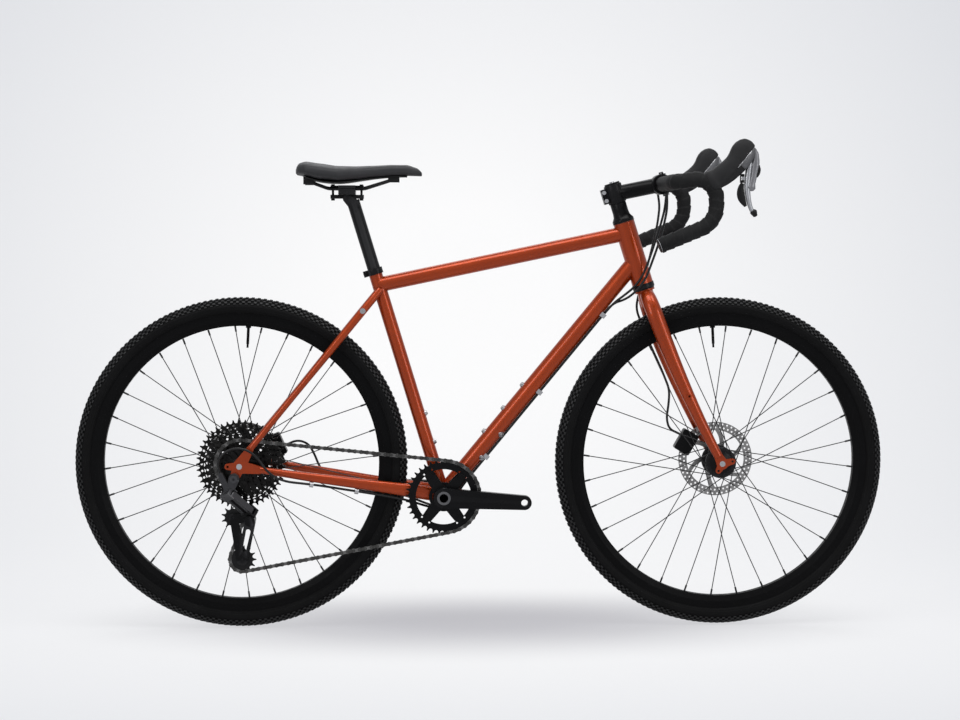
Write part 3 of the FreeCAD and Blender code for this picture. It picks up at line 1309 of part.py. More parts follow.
# Seatpost with its head, and the two-bolt clamp that holds the rails
post_bottom = seat_top + seat_up * (v.seatpost_reveal - v.seatpost_length)
post_top = seat_top + seat_up * v.seatpost_reveal
rail_level = post_top.z + v.rail_rise
half_rail = v.rail_spacing / 2
clamp_x = post_top.x - v.clamp_setback
CRADLE_DEPTH = 13.0
CRADLE_LENGTH = 36.0
YOKE_HEIGHT = 8.0
CLAMP_HEIGHT = 6.5
BOLT_REACH = 30.0
CLAMP_BOLT = 2.5
BOLT_HEAD = 4.0


def centred_box(x, z, length, width, height):
    """An upright box whose plan is centred on the bike's middle plane at x, standing on z."""
    return Part.makeBox(length, width, height, Vector(x - length / 2, -width / 2, z))


def upright(radius, height, foot):
    """A round pin standing on its foot."""
    return Part.makeCylinder(radius, height, foot)


def seatpost():
    outer = cylinder("post_outer", post_bottom, seat_up, "seatpost_diameter / 2", "seatpost_length")
    solid_top = 20
    inner = cylinder("post_bore", post_bottom, seat_up, "seatpost_diameter / 2 - seatpost_wall",
                     "seatpost_length - %d" % solid_top)
    yoke_floor = rail_level - CRADLE_DEPTH - YOKE_HEIGHT
    bolt_places = [Vector(clamp_x + side * BOLT_REACH, 0, 0) for side in (-1, 1)]
    holes = [upright(CLAMP_BOLT + v.fit_gap, 80, place + Z * (rail_level - 40)) for place in bolt_places]
    neck_half = v.seatpost_diameter / 2 - 1
    neck = bar(post_top - seat_up * 8, neck_half, point(clamp_x, yoke_floor), 9, -neck_half, neck_half)
    yoke = centred_box(clamp_x, yoke_floor, 2 * BOLT_REACH + 10, 18, YOKE_HEIGHT)
    above = centred_box(clamp_x, yoke_floor + YOKE_HEIGHT, 200, 100, 60)
    head = neck.cut(above).fuse(yoke).cut(Part.Compound(holes))
    solid = fuse("post_solid", outer, feature("post_head", head))
    node("seatpost", cut("seatpost", solid, inner))

    rail_radius = v.rail_diameter / 2
    split = 0.4
    across = v.rail_spacing + 2 * v.rail_diameter
    lower = centred_box(clamp_x, rail_level - CRADLE_DEPTH, CRADLE_LENGTH, across, CRADLE_DEPTH - split)
    upper = centred_box(clamp_x, rail_level + split, CRADLE_LENGTH, across, CLAMP_HEIGHT - split)
    ears = centred_box(clamp_x, rail_level + split, 2 * BOLT_REACH + 10, 12, CLAMP_HEIGHT - split)
    grooves = Part.Compound([
        Part.makeCylinder(rail_radius + v.fit_gap, 100, Vector(clamp_x - 50, side * half_rail, rail_level), X)
        for side in (-1, 1)])
    bolts = []
    for place in bolt_places:
        low, high = yoke_floor - 4, rail_level + CLAMP_HEIGHT + 2.4
        shank = upright(CLAMP_BOLT, high - low, place + Z * low)
        under_head = upright(BOLT_HEAD, 4 - v.fit_gap, place + Z * low)
        nut = upright(BOLT_HEAD, 2.4 - v.fit_gap, place + Z * (rail_level + CLAMP_HEIGHT + v.fit_gap))
        bolts.append(shank.fuse([under_head, nut]))
    upper = upper.fuse(ears).cut(grooves).cut(Part.Compound(holes))
    node("saddle_clamp", feature("saddle_clamp", Part.Compound([lower.cut(grooves), upper] + bolts)))


seatpost()

# Saddle stations as (share of length from the tail, share of half width, top and underside over the rails)
SADDLE_STATIONS = [
    (0.0, 0.52, 42, 28), (0.025, 0.72, 53, 27), (0.08, 0.9, 56.5, 23.5), (0.19, 1.0, 52.5, 16.5),
    (0.33, 0.93, 47.5, 13.5), (0.47, 0.65, 47, 17), (0.6, 0.45, 48.5, 22), (0.75, 0.335, 50.5, 26),
    (0.88, 0.28, 50, 27), (0.96, 0.215, 43.5, 26.5), (1.0, 0.12, 34, 26)]
saddle_tail = clamp_x - v.saddle_setback
BASE_THICKNESS = 2.5


def saddle_sections():
    half_width = v.saddle_width / 2
    for share, across, top, under in SADDLE_STATIONS:
        yield saddle_tail + v.saddle_length * share, half_width * across, rail_level + top, rail_level + under


def cover_section(x, half, top, under):
    """Flat underside, sides drawn in at the bottom, and a crowned top."""
    crown = 2 + 0.12 * half
    low, shoulder_half = 0.9 * half, 0.88 * half
    shoulder = top - crown
    a, b = Vector(x, -low, under), Vector(x, low, under)
    c, d = Vector(x, shoulder_half, shoulder), Vector(x, -shoulder_half, shoulder)
    middle = (under + shoulder) / 2
    return Part.Wire([
        Part.LineSegment(a, b).toShape(),
        Part.Arc(b, Vector(x, half, middle), c).toShape(),
        Part.Arc(c, Vector(x, 0, top), d).toShape(),
        Part.Arc(d, Vector(x, -half, middle), a).toShape()])


def saddle():
    sections = list(saddle_sections())
    cover = Part.makeLoft([cover_section(*section) for section in sections], True, False)
    node("saddle_cover", feature("saddle_cover", cover))

    seat_gap = 0.5
    plates = []
    for x, half, _, under in sections[2:-2]:
        side, top = 0.78 * half, under - seat_gap
        corners = [Vector(x, -side, top), Vector(x, side, top), Vector(x, side, top - BASE_THICKNESS),
                   Vector(x, -side, top - BASE_THICKNESS)]
        plates.append(Part.makePolygon(corners + corners[:1]))
    plate = Part.makeLoft(plates, True, False)
    rear_corner, front_corner = clamp_x - 40, clamp_x + 36
    rear_end = Vector(clamp_x - 78, half_rail + 14, rail_level + 14)
    front_end = Vector(clamp_x + 98, 9, rail_level + 19.5)
    rail_path = rounded_path([rear_end, Vector(rear_corner, half_rail, rail_level),
                              Vector(front_corner, half_rail, rail_level), front_end], [30, 30])
    rail = tube_along(rail_path, v.rail_diameter / 2)
    rails = both_sides(rail)
    node("saddle_rails", feature("saddle_rails", rails))
    rear_boss = Part.makeBox(22, 14, 16, rear_end + Vector(-12, -7, -6))
    front_boss = centred_box(front_end.x, front_end.z - 6, 24, 30, 12)
    base = plate.fuse([rear_boss, mirrored(rear_boss), front_boss]).cut(cover).cut(rails)
    node("saddle_base", feature("saddle_base", largest(base)))


saddle()

# Cables: two housings leave the tape and run along the frame, and the front hose follows the fork
CABLE_RADIUS = 2.5
CABLE_GAP = 0.4
FIRST_CLIP = 516.0
SECOND_CLIP = 298.0
LAST_CLIP = 80.0
CABLE_SIDE = 6.0


def under_down_tube(distance, y):
    """Cable centre below the down tube, at a distance from the bottom bracket."""
    reach = v.down_tube_diameter / 2 + CABLE_RADIUS + CABLE_GAP
    return sideways(bracket + down_axis * distance + down_under * math.sqrt(reach ** 2 - y ** 2), y)


def from_bar(y):
    """Where a cable leaves the underside of the bar tape."""
    return bar_centre + Vector(2, y, -v.tape_diameter / 2 - CABLE_GAP)


def caliper_port(axle, angle, y):
    """Where a hose meets a caliper's outer face, and the way out of it."""
    place = caliper_frame(axle, angle, y)
    return place.multVec(Vector(CALIPER_OUTER + 2 * v.run_gap, -8, 2)), place.Rotation.multVec(X)


# The stretch below the bottom bracket and along a chainstay, alike on both sides, y given to the left
ALONG_STAY = [point(-46, 293, 8), point(-56, 268, 10), point(-76, 253, 12), point(-102, 254, 16),
              point(-127, 262, 23), point(-152, 271.5, 30), point(-195, 281.5, 35.5), point(-240, 290.2, 43.5),
              point(-290, 299.2, 51.5)]
TO_DERAILLEUR = [point(-340, 308.6, -60), point(-378, 314.5, -68.5), point(-407, 319, -78), point(-432, 328, -84),
                 point(-453, 346, -86), point(-467, 368, -87), point(-487, 386, -87), point(-513, 392, -87),
                 point(-538, 383, -87), point(-553, 362, -87)]
TO_REAR_CALIPER = [point(-322, 305.5, 68), point(-347, 329, 77), point(-358, 358, 76), point(-371, 383, 69)]
SHIFT_FROM_BAR = [from_bar(-66), point(382, 897, -61), point(375, 862, -51), point(364, 822, -41),
                  point(352, 783, -34), point(339, 748, -31), point(322, 724, -27), point(301, 706, -18)]
HOSE_FROM_BAR = [from_bar(-74),point(385, 896, -70), point(380, 860, -61), point(370, 818, -51),
                 point(357, 778, -44), point(344, 742, -40), point(325, 715, -34), point(303, 697, -20)]
FRONT_FROM_BAR = [from_bar(66),point(386, 896, 62), point(381, 860, 54), point(372, 822, 46),
                  point(362, 784, 41), point(353, 748, 41), point(341, 712, 46), point(334, 676, 47)]
TO_FRONT_CALIPER = [point(409, 500, 50), point(407, 469, 47), point(402, 440, 43), point(407, 416, 41)]


def cables():
    right_start, left_start = under_down_tube(FIRST_CLIP, -CABLE_SIDE), under_down_tube(FIRST_CLIP, CABLE_SIDE)
    lead_in = FIRST_CLIP + 26
    to_right = SHIFT_FROM_BAR + [under_down_tube(lead_in, -CABLE_SIDE), right_start]
    to_left = HOSE_FROM_BAR + [under_down_tube(lead_in, CABLE_SIDE), left_start]
    steering = [cord("shift housing at the head", to_right, CABLE_RADIUS),
                cord("rear hose at the head", to_left, CABLE_RADIUS)]
    node("steering_cables", feature("steering_cables", Part.Compound(steering)))

    right = [right_start, under_down_tube(70, -CABLE_SIDE)]
    right += [sideways(place, -place.y) for place in ALONG_STAY] + TO_DERAILLEUR + [housing_stop]
    port, out = caliper_port(rear_axle, REAR_CALIPER_ANGLE, rear_rotor_y)
    left = [left_start, under_down_tube(70, CABLE_SIDE)] + ALONG_STAY + TO_REAR_CALIPER + [port + out * 28, port]
    housings = [cord("shift housing", right, CABLE_RADIUS), cord("rear hose", left, CABLE_RADIUS)]
    node("frame_cables", feature("frame_cables", Part.Compound(housings)))

    port, _ = caliper_port(front_axle, FRONT_CALIPER_ANGLE, front_rotor_y)
    beside_blade = [blade_at(share, 50) - head_forward * back for share, back in ((0.22, 24), (0.33, 22), (0.45, 20))]
    front = cord("front hose", FRONT_FROM_BAR + beside_blade + TO_FRONT_CALIPER + [port], CABLE_RADIUS)
    node("front_brake_hose", feature("front_brake_hose", front))
    return housings, right, left


def frame_fittings(housings, right, left):
    """Bottle and rack bolts, and the clips and loops that hold the cables to the frame."""
    boss_radius, head_radius = 6.0, 4.5
    pieces = []

    def bolt(foot, axis, skin):
        """A bolt head on its boss, standing on a tube of the given radius."""
        boss = Part.makeCylinder(boss_radius, 4, foot + axis * (skin - 2), axis)
        head = Part.makeCylinder(head_radius, 3, foot + axis * (skin + 2), axis)
        socket = Part.makeCylinder(2, 2, foot + axis * (skin + 3), axis)
        return boss.fuse(head).cut(socket)

    down_skin, seat_skin = v.down_tube_diameter / 2, v.seat_tube_diameter / 2
    for distance in (159, 223, 287):
        pieces.append(bolt(bracket + down_axis * distance, down_under * -1, down_skin))
    for distance in (113, 177):
        pieces.append(bolt(bracket + seat_up * distance, seat_back * -1, seat_skin))
    # One bolt under the down tube, on the right of the cables and level with the lowest bottle bolt
    side_lean = unit(down_under - Y)
    pieces.append(bolt(bracket + down_axis * 113, side_lean, down_skin))
    pieces.append(bolt(bracket + down_axis * 177, side_lean, down_skin))
    rack_bolt = stays.head + stays.head_run * 0.865
    for side in (-1, 1):
        pieces.append(bolt(sideways(rack_bolt, side * 26), Y * side, v.seatstay_diameter / 2))
    for distance in (FIRST_CLIP - 6, SECOND_CLIP, LAST_CLIP + 40):
        place = frame_of(bracket + down_axis * distance, down_axis, Y)
        clip = Part.makeBox(10, 22, 12, Vector(-5, -11, -down_skin - 8))
        clip.Placement = place.multiply(clip.Placement)
        pieces.append(clip)
    for route in (right, left):
        for before, after in zip(route, route[1:]):
            if before in loops_after:
                middle = (before + after) * 0.5
                axis = unit(after - before)
                pieces.append(Part.makeCylinder(LOOP_RADIUS, 8, middle - axis * 4, axis))
    tools = [tubes.down.Shape, tubes.seat.Shape, stays.solid, mirrored(stays.solid), stays.seat_solid,
             mirrored(stays.seat_solid), Part.Compound(housings)]
    trimmed = []
    for piece in pieces:
        for tool in tools:
            piece = piece.cut(tool)
        trimmed.append(largest(piece))
    node("frame_fittings", feature("frame_fittings", Part.Compound(trimmed)))


LOOP_RADIUS = 6.0
loops_after = [sideways(ALONG_STAY[-2], -ALONG_STAY[-2].y), TO_DERAILLEUR[0], ALONG_STAY[-2]]
doc.recompute()
frame_fittings(*cables())

doc.recompute()
for obj in doc.Objects:
    if "Invalid" in obj.State or "Error" in obj.State:
        raise RuntimeError("%s failed: %s" % (obj.Name, obj.State))
os.makedirs("parts", exist_ok=True)
for obj in NODES:
    if obj.Shape.isNull() or not obj.Shape.isValid():
        raise RuntimeError("%s has no valid shape" % obj.Label)
for obj in NODES:
    obj.Shape.exportStep("parts/%s.step" % obj.Label)
print("%d nodes written" % len(NODES))
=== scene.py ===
import json
import math

import bmesh
import bpy
from mathutils import Matrix, Vector


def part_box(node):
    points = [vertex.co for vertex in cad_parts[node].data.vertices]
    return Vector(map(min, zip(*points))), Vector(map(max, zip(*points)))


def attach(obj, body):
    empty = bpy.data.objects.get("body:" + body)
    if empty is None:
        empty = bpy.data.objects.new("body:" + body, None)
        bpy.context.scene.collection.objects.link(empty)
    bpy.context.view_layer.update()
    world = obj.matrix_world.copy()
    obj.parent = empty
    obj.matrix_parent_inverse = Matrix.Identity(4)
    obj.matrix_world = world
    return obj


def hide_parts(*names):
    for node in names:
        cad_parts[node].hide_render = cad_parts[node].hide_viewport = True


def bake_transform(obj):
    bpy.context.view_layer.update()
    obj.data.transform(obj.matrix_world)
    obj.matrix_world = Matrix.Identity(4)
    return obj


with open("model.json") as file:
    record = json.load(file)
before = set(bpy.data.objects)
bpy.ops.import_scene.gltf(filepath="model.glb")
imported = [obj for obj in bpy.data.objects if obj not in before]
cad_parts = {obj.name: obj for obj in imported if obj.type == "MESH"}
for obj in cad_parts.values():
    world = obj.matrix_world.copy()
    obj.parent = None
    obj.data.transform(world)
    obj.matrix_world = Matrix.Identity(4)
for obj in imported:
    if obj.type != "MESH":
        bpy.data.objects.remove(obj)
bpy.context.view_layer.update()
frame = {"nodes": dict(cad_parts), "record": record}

# The CAD box, kept before anything is added
nodes = frame["nodes"]
scene = bpy.context.scene
scene.view_settings.view_transform = "Standard"

# Places on the bike, in metres: +X forward, +Y to the rider's left, +Z up
REAR_AXLE = Vector((-0.508, 0, 0.351))
FRONT_AXLE = Vector((0.508, 0, 0.351))
BRACKET = Vector((-0.081546, 0, 0.282))
BAR_CENTRE = Vector((0.380166, 0, 0.940684))
HOOK_TOP = Vector((0.462166, 0, 0.950753))
BAR_HALF = 0.22
MILLIMETRE = 0.001
SIDES = (("right", -1), ("left", 1))
FACES = (("left", 1), ("right", -1))


def beside(side):
    """From the middle plane to the drop of the bar on one side."""
    return Vector((0, side * BAR_HALF, 0))


# Shader helpers

NOISE_LOW, NOISE_HIGH = 0.3, 0.7


def connect(tree, inputs, values):
    """Sets or links several inputs."""
    for key, value in values.items():
        if isinstance(value, bpy.types.NodeSocket):
            tree.links.new(value, inputs[key])
        else:
            inputs[key].default_value = value


def node(tree, kind, inputs=None, **settings):
    """Adds a shader node, sets its properties, and sets or links its inputs."""
    made = tree.nodes.new(kind)
    for key, value in settings.items():
        setattr(made, key, value)
    connect(tree, made.inputs, inputs or {})
    return made


def object_place(tree):
    return node(tree, "ShaderNodeTexCoord").outputs["Object"]


def larger(tree, first, second):
    return node(tree, "ShaderNodeMath", {0: first, 1: second}, operation="MAXIMUM").outputs[0]


def seen_directly(tree):
    """1 for rays that show the background itself: camera, glossy and transmission rays."""
    path = node(tree, "ShaderNodeLightPath").outputs
    camera_or_glossy = larger(tree, path["Is Camera Ray"], path["Is Glossy Ray"])
    return larger(tree, camera_or_glossy, path["Is Transmission Ray"])


def distance(tree, place, location, scale):
    """Distance from a centre, with its own scale on each axis."""
    moved = node(tree, "ShaderNodeMapping", {"Vector": place, "Location": location, "Scale": scale})
    length = node(tree, "ShaderNodeVectorMath", {0: moved.outputs[0]}, operation="LENGTH")
    return length.outputs["Value"]


def multiplied(tree, share, first, second):
    """One colour multiplied by another, by the given share."""
    made = node(tree, "ShaderNodeMix", {0: share, 6: first, 7: second}, data_type="RGBA",
                blend_type="MULTIPLY")
    return made.outputs[2]


def noise(tree, place, scale, detail=4.0):
    made = node(tree, "ShaderNodeTexNoise", {"Vector": place, "Scale": scale, "Detail": detail,
                                             "Roughness": 0.55})
    return made.outputs["Fac"]


def ramp(tree, factor, dark, light, low=NOISE_LOW, high=NOISE_HIGH, blend="LINEAR"):
    """A colour between two tones."""
    made = node(tree, "ShaderNodeValToRGB", {"Fac": factor})
    made.color_ramp.interpolation = blend
    first, last = made.color_ramp.elements
    first.position, last.position = low, high
    first.color, last.color = (*dark, 1), (*light, 1)
    return made.outputs["Color"]


def spread(tree, factor, low, high):
    """A noise value spread between two levels."""
    made = node(tree, "ShaderNodeMapRange", {"Value": factor, "From Min": NOISE_LOW,
                                             "From Max": NOISE_HIGH, "To Min": low, "To Max": high})
    return made.outputs["Result"]


def raised(tree, height, depth, strength, normal=None):
    """A bumped normal, on top of another where given."""
    inputs = {"Height": height, "Distance": depth, "Strength": strength}
    if normal is not None:
        inputs["Normal"] = normal
    return node(tree, "ShaderNodeBump", inputs).outputs["Normal"]


def scaled(colour, factor):
    return tuple(min(1.0, c * factor) for c in colour)


# Camera, stage and light

SENSOR_WIDTH, LENS = 36, 70.8
CAMERA_PLACE = (-0.168, -4.0, 0.841)
CAMERA_ANGLES = (90 - 3.9, -0.1, -2.35)
VIEW_REACH = 100
FLOOR_LEVEL, FLOOR_FRONT, FLOOR_HALF = -0.002, -14.0, 14.0
WALL_DEPTH, WALL_TOP, WALL_BEND, BEND_STEPS = 2.6, 6.0, 1.6, 24
# Tones of the backdrop: around the bike, painted shade at the edges, and a painted shadow under the
# wheels
MIDDLE_TONE, PAINTED_EDGE_SHADE, PAINTED_SHADOW_TONE = (0.99, 0.99, 0.995), (0.76, 0.775, 0.81), (0.60, 0.595, 0.62)
WHITE = (1.0, 1.0, 1.0)
GLOW_SHARE = 0.85
WORLD_COLOUR = (0.955, 0.965, 1.0, 1)
WORLD_LIGHT, WORLD_SEEN = 0.16, 0.71
LAMP_TARGET = Vector((0, 0, 0.5))
# Lamps as (name, place, width, height, power)
LAMPS = [("overhead", (0.1, -0.9, 3.2), 3.4, 1.2, 62),
         ("front_left", (-2.6, -3.0, 1.9), 1.0, 2.2, 34),
         ("front_right", (2.8, -2.8, 1.7), 1.0, 2.2, 30),
         ("behind", (0.2, 2.0, 2.9), 3.0, 1.0, 26)]


def make_camera():
    """Camera at the photograph's angle: a long lens on the drive side, above the axles."""
    data = bpy.data.cameras.new("camera")
    data.sensor_width = SENSOR_WIDTH
    data.lens = LENS
    data.clip_end = VIEW_REACH
    camera = bpy.data.objects.new("camera", data)
    scene.collection.objects.link(camera)
    camera.location = CAMERA_PLACE
    camera.rotation_mode = "XYZ"
    camera.rotation_euler = [math.radians(angle) for angle in CAMERA_ANGLES]
    scene.camera = camera


def backdrop_material():
    """Bright behind the bike, with painted shade greying the edges and a soft painted shadow pooled
    below the wheels.
    """
    material = bpy.data.materials.new("backdrop")
    material.use_nodes = True
    tree = material.node_tree
    tree.nodes.clear()
    place = object_place(tree)
    split = node(tree, "ShaderNodeSeparateXYZ", {0: place}).outputs
    in_front = node(tree, "ShaderNodeMath", {0: split["Y"], 1: 0.0}, operation="MINIMUM")
    here = node(tree, "ShaderNodeCombineXYZ", {"X": split["X"], "Y": in_front.outputs[0],
                                               "Z": split["Z"]})
    # Painted shade: the colour greys with distance from the bike, as light falls off towards the
    # edges
    away = distance(tree, here.outputs[0], (0.0, 0.0, -0.31), (0.42, 0.72, 0.5))
    painted_falloff = ramp(tree, away, MIDDLE_TONE, PAINTED_EDGE_SHADE, 0.15, 0.95)
    # Painted shadow: a soft darker pool in the floor's colour below the wheels
    painted_shadow_reach = distance(tree, place, (0.0, -0.08, 0.0), (1.02, 2.4, 1.0))
    painted_shadow = ramp(tree, painted_shadow_reach, PAINTED_SHADOW_TONE, WHITE, 0.1, 1.0, "EASE")
    tone = multiplied(tree, 1.0, painted_falloff, painted_shadow)
    diffuse = node(tree, "ShaderNodeBsdfDiffuse", {"Color": tone}).outputs[0]
    glow = node(tree, "ShaderNodeEmission", {"Color": tone, "Strength": 1.0}).outputs[0]
    share = node(tree, "ShaderNodeMath", {0: seen_directly(tree), 1: GLOW_SHARE},
                 operation="MULTIPLY").outputs[0]
    front = node(tree, "ShaderNodeMixShader", {0: share, 1: diffuse, 2: glow}).outputs[0]
    # From behind, the sweep lets the view through
    clear = node(tree, "ShaderNodeBsdfTransparent").outputs[0]
    reverse = node(tree, "ShaderNodeNewGeometry").outputs["Backfacing"]
    both = node(tree, "ShaderNodeMixShader", {0: reverse, 1: front, 2: clear}).outputs[0]
    node(tree, "ShaderNodeOutputMaterial", {"Surface": both})
    return material


def make_stage():
    """A pale floor that sweeps up into the backdrop."""
    foot = WALL_DEPTH - WALL_BEND
    profile = [(FLOOR_FRONT, FLOOR_LEVEL), (foot, FLOOR_LEVEL)]
    for i in range(1, BEND_STEPS + 1):
        a = math.pi / 2 * i / BEND_STEPS
        rise = WALL_BEND - WALL_BEND * math.cos(a)
        profile.append((foot + WALL_BEND * math.sin(a), FLOOR_LEVEL + rise))
    profile.append((WALL_DEPTH, WALL_TOP))
    mesh = bpy.data.meshes.new("backdrop")
    verts = [(x, y, z) for y, z in profile for x in (-FLOOR_HALF, FLOOR_HALF)]
    faces = [(2 * i, 2 * i + 1, 2 * i + 3, 2 * i + 2) for i in range(len(profile) - 1)]
    mesh.from_pydata(verts, [], faces)
    for polygon in mesh.polygons:
        polygon.use_smooth = True
    sweep = bpy.data.objects.new("backdrop", mesh)
    scene.collection.objects.link(sweep)
    mesh.materials.append(backdrop_material())


def make_light():
    """Soft lamps above, in front and behind, and a plain pale world."""
    world = bpy.data.worlds.new("studio")
    world.use_nodes = True
    tree = world.node_tree
    level = node(tree, "ShaderNodeMapRange", {"Value": seen_directly(tree), "To Min": WORLD_LIGHT,
                                              "To Max": WORLD_SEEN}).outputs["Result"]
    connect(tree, tree.nodes["Background"].inputs, {"Color": WORLD_COLOUR, "Strength": level})
    scene.world = world
    for name, place, width, height, power in LAMPS:
        data = bpy.data.lights.new(name, "AREA")
        data.shape = "RECTANGLE"
        data.size = width
        data.size_y = height
        data.energy = power
        lamp = bpy.data.objects.new(name, data)
        scene.collection.objects.link(lamp)
        lamp.location = place
        lamp.rotation_mode = "QUATERNION"
        lamp.rotation_quaternion = (LAMP_TARGET - Vector(place)).to_track_quat("-Z", "Y")


make_camera()
make_stage()
make_light()


# Materials: every one has its own grain, colour variation and roughness

# Edge sharpness where the lighter edge tint (wear, and on dark steel a painted glint) begins and is
# full, and the most it covers
WEAR_START, WEAR_FULL, WEAR_SHARE = 0.53, 0.6, 0.5
FINE_DETAIL = 3.0


def new_material(name):
    """A new material, its tree, its shader's inputs and the coordinates of its pattern."""
    material = bpy.data.materials.new(name)
    material.use_nodes = True
    tree = material.node_tree
    return material, tree, tree.nodes["Principled BSDF"].inputs, object_place(tree)


def plain_finish(name, colour, roughness, metallic=0.0, variation=0.15, patch=9.0, grain=900.0,
                 edge_wear_and_glint=None, specular=0.5):
    """Uneven colour in soft patches, uneven roughness, a fine grain, and lighter edges if asked:
    edge wear, which on dark steel is also a painted glint.
    """
    material, tree, inputs, place = new_material(name)
    tint = ramp(tree, noise(tree, place, patch), scaled(colour, 1 - variation),
                scaled(colour, 1 + variation))
    if edge_wear_and_glint:
        edge = node(tree, "ShaderNodeNewGeometry").outputs["Pointiness"]
        worn_and_glint_share = node(tree, "ShaderNodeMapRange", {
            "Value": edge, "From Min": WEAR_START, "From Max": WEAR_FULL, "To Min": 0.0,
            "To Max": WEAR_SHARE}).outputs["Result"]
        mixed = node(tree, "ShaderNodeMix", {0: worn_and_glint_share, 6: tint, 7: (*edge_wear_and_glint, 1)}, data_type="RGBA")
        tint = mixed.outputs[2]
    uneven = spread(tree, noise(tree, place, patch * 7), roughness * 0.85,
                    min(1.0, roughness * 1.15))
    surface = raised(tree, noise(tree, place, grain, FINE_DETAIL), 0.00005, 0.25)
    connect(tree, inputs, {"Base Color": tint, "Roughness": uneven, "Normal": surface,
                           "Metallic": metallic, "Specular IOR Level": specular})
    return material


def frame_paint():
    """Burnt orange with metal flake under a clear gloss coat."""
    material, tree, inputs, place = new_material("frame_paint")
    orange = ramp(tree, noise(tree, place, 5.0), (0.29, 0.031, 0.001), (0.36, 0.041, 0.0015))
    flake = node(tree, "ShaderNodeTexVoronoi", {"Vector": place, "Scale": 2600.0}).outputs["Color"]
    sparkle = ramp(tree, flake, (0.72, 0.72, 0.72), (1.18, 1.12, 1.05), 0.2, 0.9)
    uneven = spread(tree, noise(tree, place, 30.0), 0.30, 0.38)
    peel = raised(tree, noise(tree, place, 240.0, 2.0), 0.00003, 0.12)
    connect(tree, inputs, {"Base Color": multiplied(tree, 0.55, orange, sparkle),
                           "Roughness": uneven, "Normal": peel, "Metallic": 0.55,
                           "Specular IOR Level": 0.2, "Coat Weight": 0.35, "Coat Roughness": 0.07})
    return material


def turned_steel(name, centre):
    """Steel with fine rings about an axle, as a ground disc has."""
    colour, roughness = (0.30, 0.295, 0.29), 0.34
    material, tree, inputs, place = new_material(name)
    radius = distance(tree, place, tuple(-c for c in centre), (1.0, 0.0, 1.0))
    rings = node(tree, "ShaderNodeTexNoise", {"W": radius, "Scale": 2600.0, "Detail": FINE_DETAIL},
                 noise_dimensions="1D").outputs["Fac"]
    tint = ramp(tree, rings, scaled(colour, 0.75), scaled(colour, 1.15))
    uneven = spread(tree, noise(tree, place, 40.0), roughness * 0.8, roughness * 1.2)
    connect(tree, inputs, {"Base Color": tint, "Roughness": uneven,
                           "Normal": raised(tree, rings, 0.00004, 0.3), "Metallic": 0.95})
    return material


def rubber(name, colour, roughness, cell, depth, strength, specular):
    """Matte rubber with a pebbled skin of the given cell scale."""
    material, tree, inputs, place = new_material(name)
    tint = ramp(tree, noise(tree, place, 14.0), scaled(colour, 0.8), scaled(colour, 1.25))
    pebble = node(tree, "ShaderNodeTexVoronoi", {"Vector": place, "Scale": cell},
                  feature="SMOOTH_F1").outputs["Distance"]
    fine = raised(tree, noise(tree, place, cell * 2.5, FINE_DETAIL), depth * 0.4, strength * 0.5)
    uneven = spread(tree, noise(tree, place, 60.0), roughness * 0.9, min(1.0, roughness * 1.1))
    connect(tree, inputs, {"Base Color": tint, "Roughness": uneven,
                           "Normal": raised(tree, pebble, depth, strength, fine),
                           "Specular IOR Level": specular})
    return material


PAINT = frame_paint()
BLACK_ALLOY = plain_finish("black_alloy", (0.0035, 0.0035, 0.004), 0.30, edge_wear_and_glint=(0.05, 0.05, 0.053),
                           specular=0.11)
RIM_ALLOY = plain_finish("rim_alloy", (0.003, 0.003, 0.0033), 0.42, specular=0.06)
RING_ALLOY = plain_finish("ring_alloy", (0.0035, 0.0035, 0.004), 0.34, specular=0.1)
GREY_ALLOY = plain_finish("grey_alloy", (0.035, 0.035, 0.038), 0.38, metallic=0.7,
                          edge_wear_and_glint=(0.25, 0.25, 0.26))
PANEL = plain_finish("lever_panel", (0.11, 0.11, 0.115), 0.4, metallic=0.6, variation=0.1)
SILVER = plain_finish("silver_steel", (0.42, 0.42, 0.43), 0.28, metallic=0.95, variation=0.1,
                      grain=1500.0)
# Painted glint: on dark steel the lighter worn edges also stand for glints
DARK_STEEL = plain_finish("dark_steel", (0.045, 0.044, 0.042), 0.30, metallic=0.8, variation=0.4,
                          patch=40.0, edge_wear_and_glint=(0.3, 0.295, 0.29))
COG_STEEL = plain_finish("cog_steel", (0.012, 0.0115, 0.011), 0.24, metallic=0.75, variation=0.6,
                         patch=70.0, specular=0.2)
SPOKE = plain_finish("spoke_steel", (0.008, 0.008, 0.009), 0.3, metallic=0.3)
LEVER = plain_finish("lever_alloy", (0.33, 0.335, 0.35), 0.36, metallic=0.85, variation=0.08,
                     edge_wear_and_glint=(0.6, 0.6, 0.62))
NOSE = plain_finish("lever_nose", (0.19, 0.19, 0.2), 0.4, metallic=0.8, variation=0.1)
PLASTIC = plain_finish("black_plastic", (0.006, 0.006, 0.0065), 0.46, variation=0.2, grain=700.0,
                       specular=0.18)
CABLE = plain_finish("cable_housing", (0.007, 0.007, 0.0075), 0.34, variation=0.2, grain=1500.0,
                     specular=0.25)
TYRE = rubber("tyre_rubber", (0.004, 0.004, 0.0042), 0.62, 900.0, 0.0001, 0.25, 0.08)
# Painted highlight: the blocks take a lighter rubber than the casing, for light on the tread and
# shade in the grooves
TREAD_PAINTED_LIGHTER = rubber("tread_rubber_painted_lighter", (0.009, 0.009, 0.0095), 0.5, 900.0, 0.0001, 0.25, 0.3)
TAPE = rubber("bar_tape", (0.017, 0.017, 0.0175), 0.6, 800.0, 0.00025, 0.5, 0.06)
HOOD = rubber("hood_rubber", (0.020, 0.020, 0.021), 0.62, 1100.0, 0.0002, 0.5, 0.14)
SADDLE = rubber("saddle_skin", (0.024, 0.024, 0.026), 0.52, 1300.0, 0.00015, 0.4, 0.25)
FRONT_DISC = turned_steel("front_disc_steel", FRONT_AXLE)
REAR_DISC = turned_steel("rear_disc_steel", REAR_AXLE)

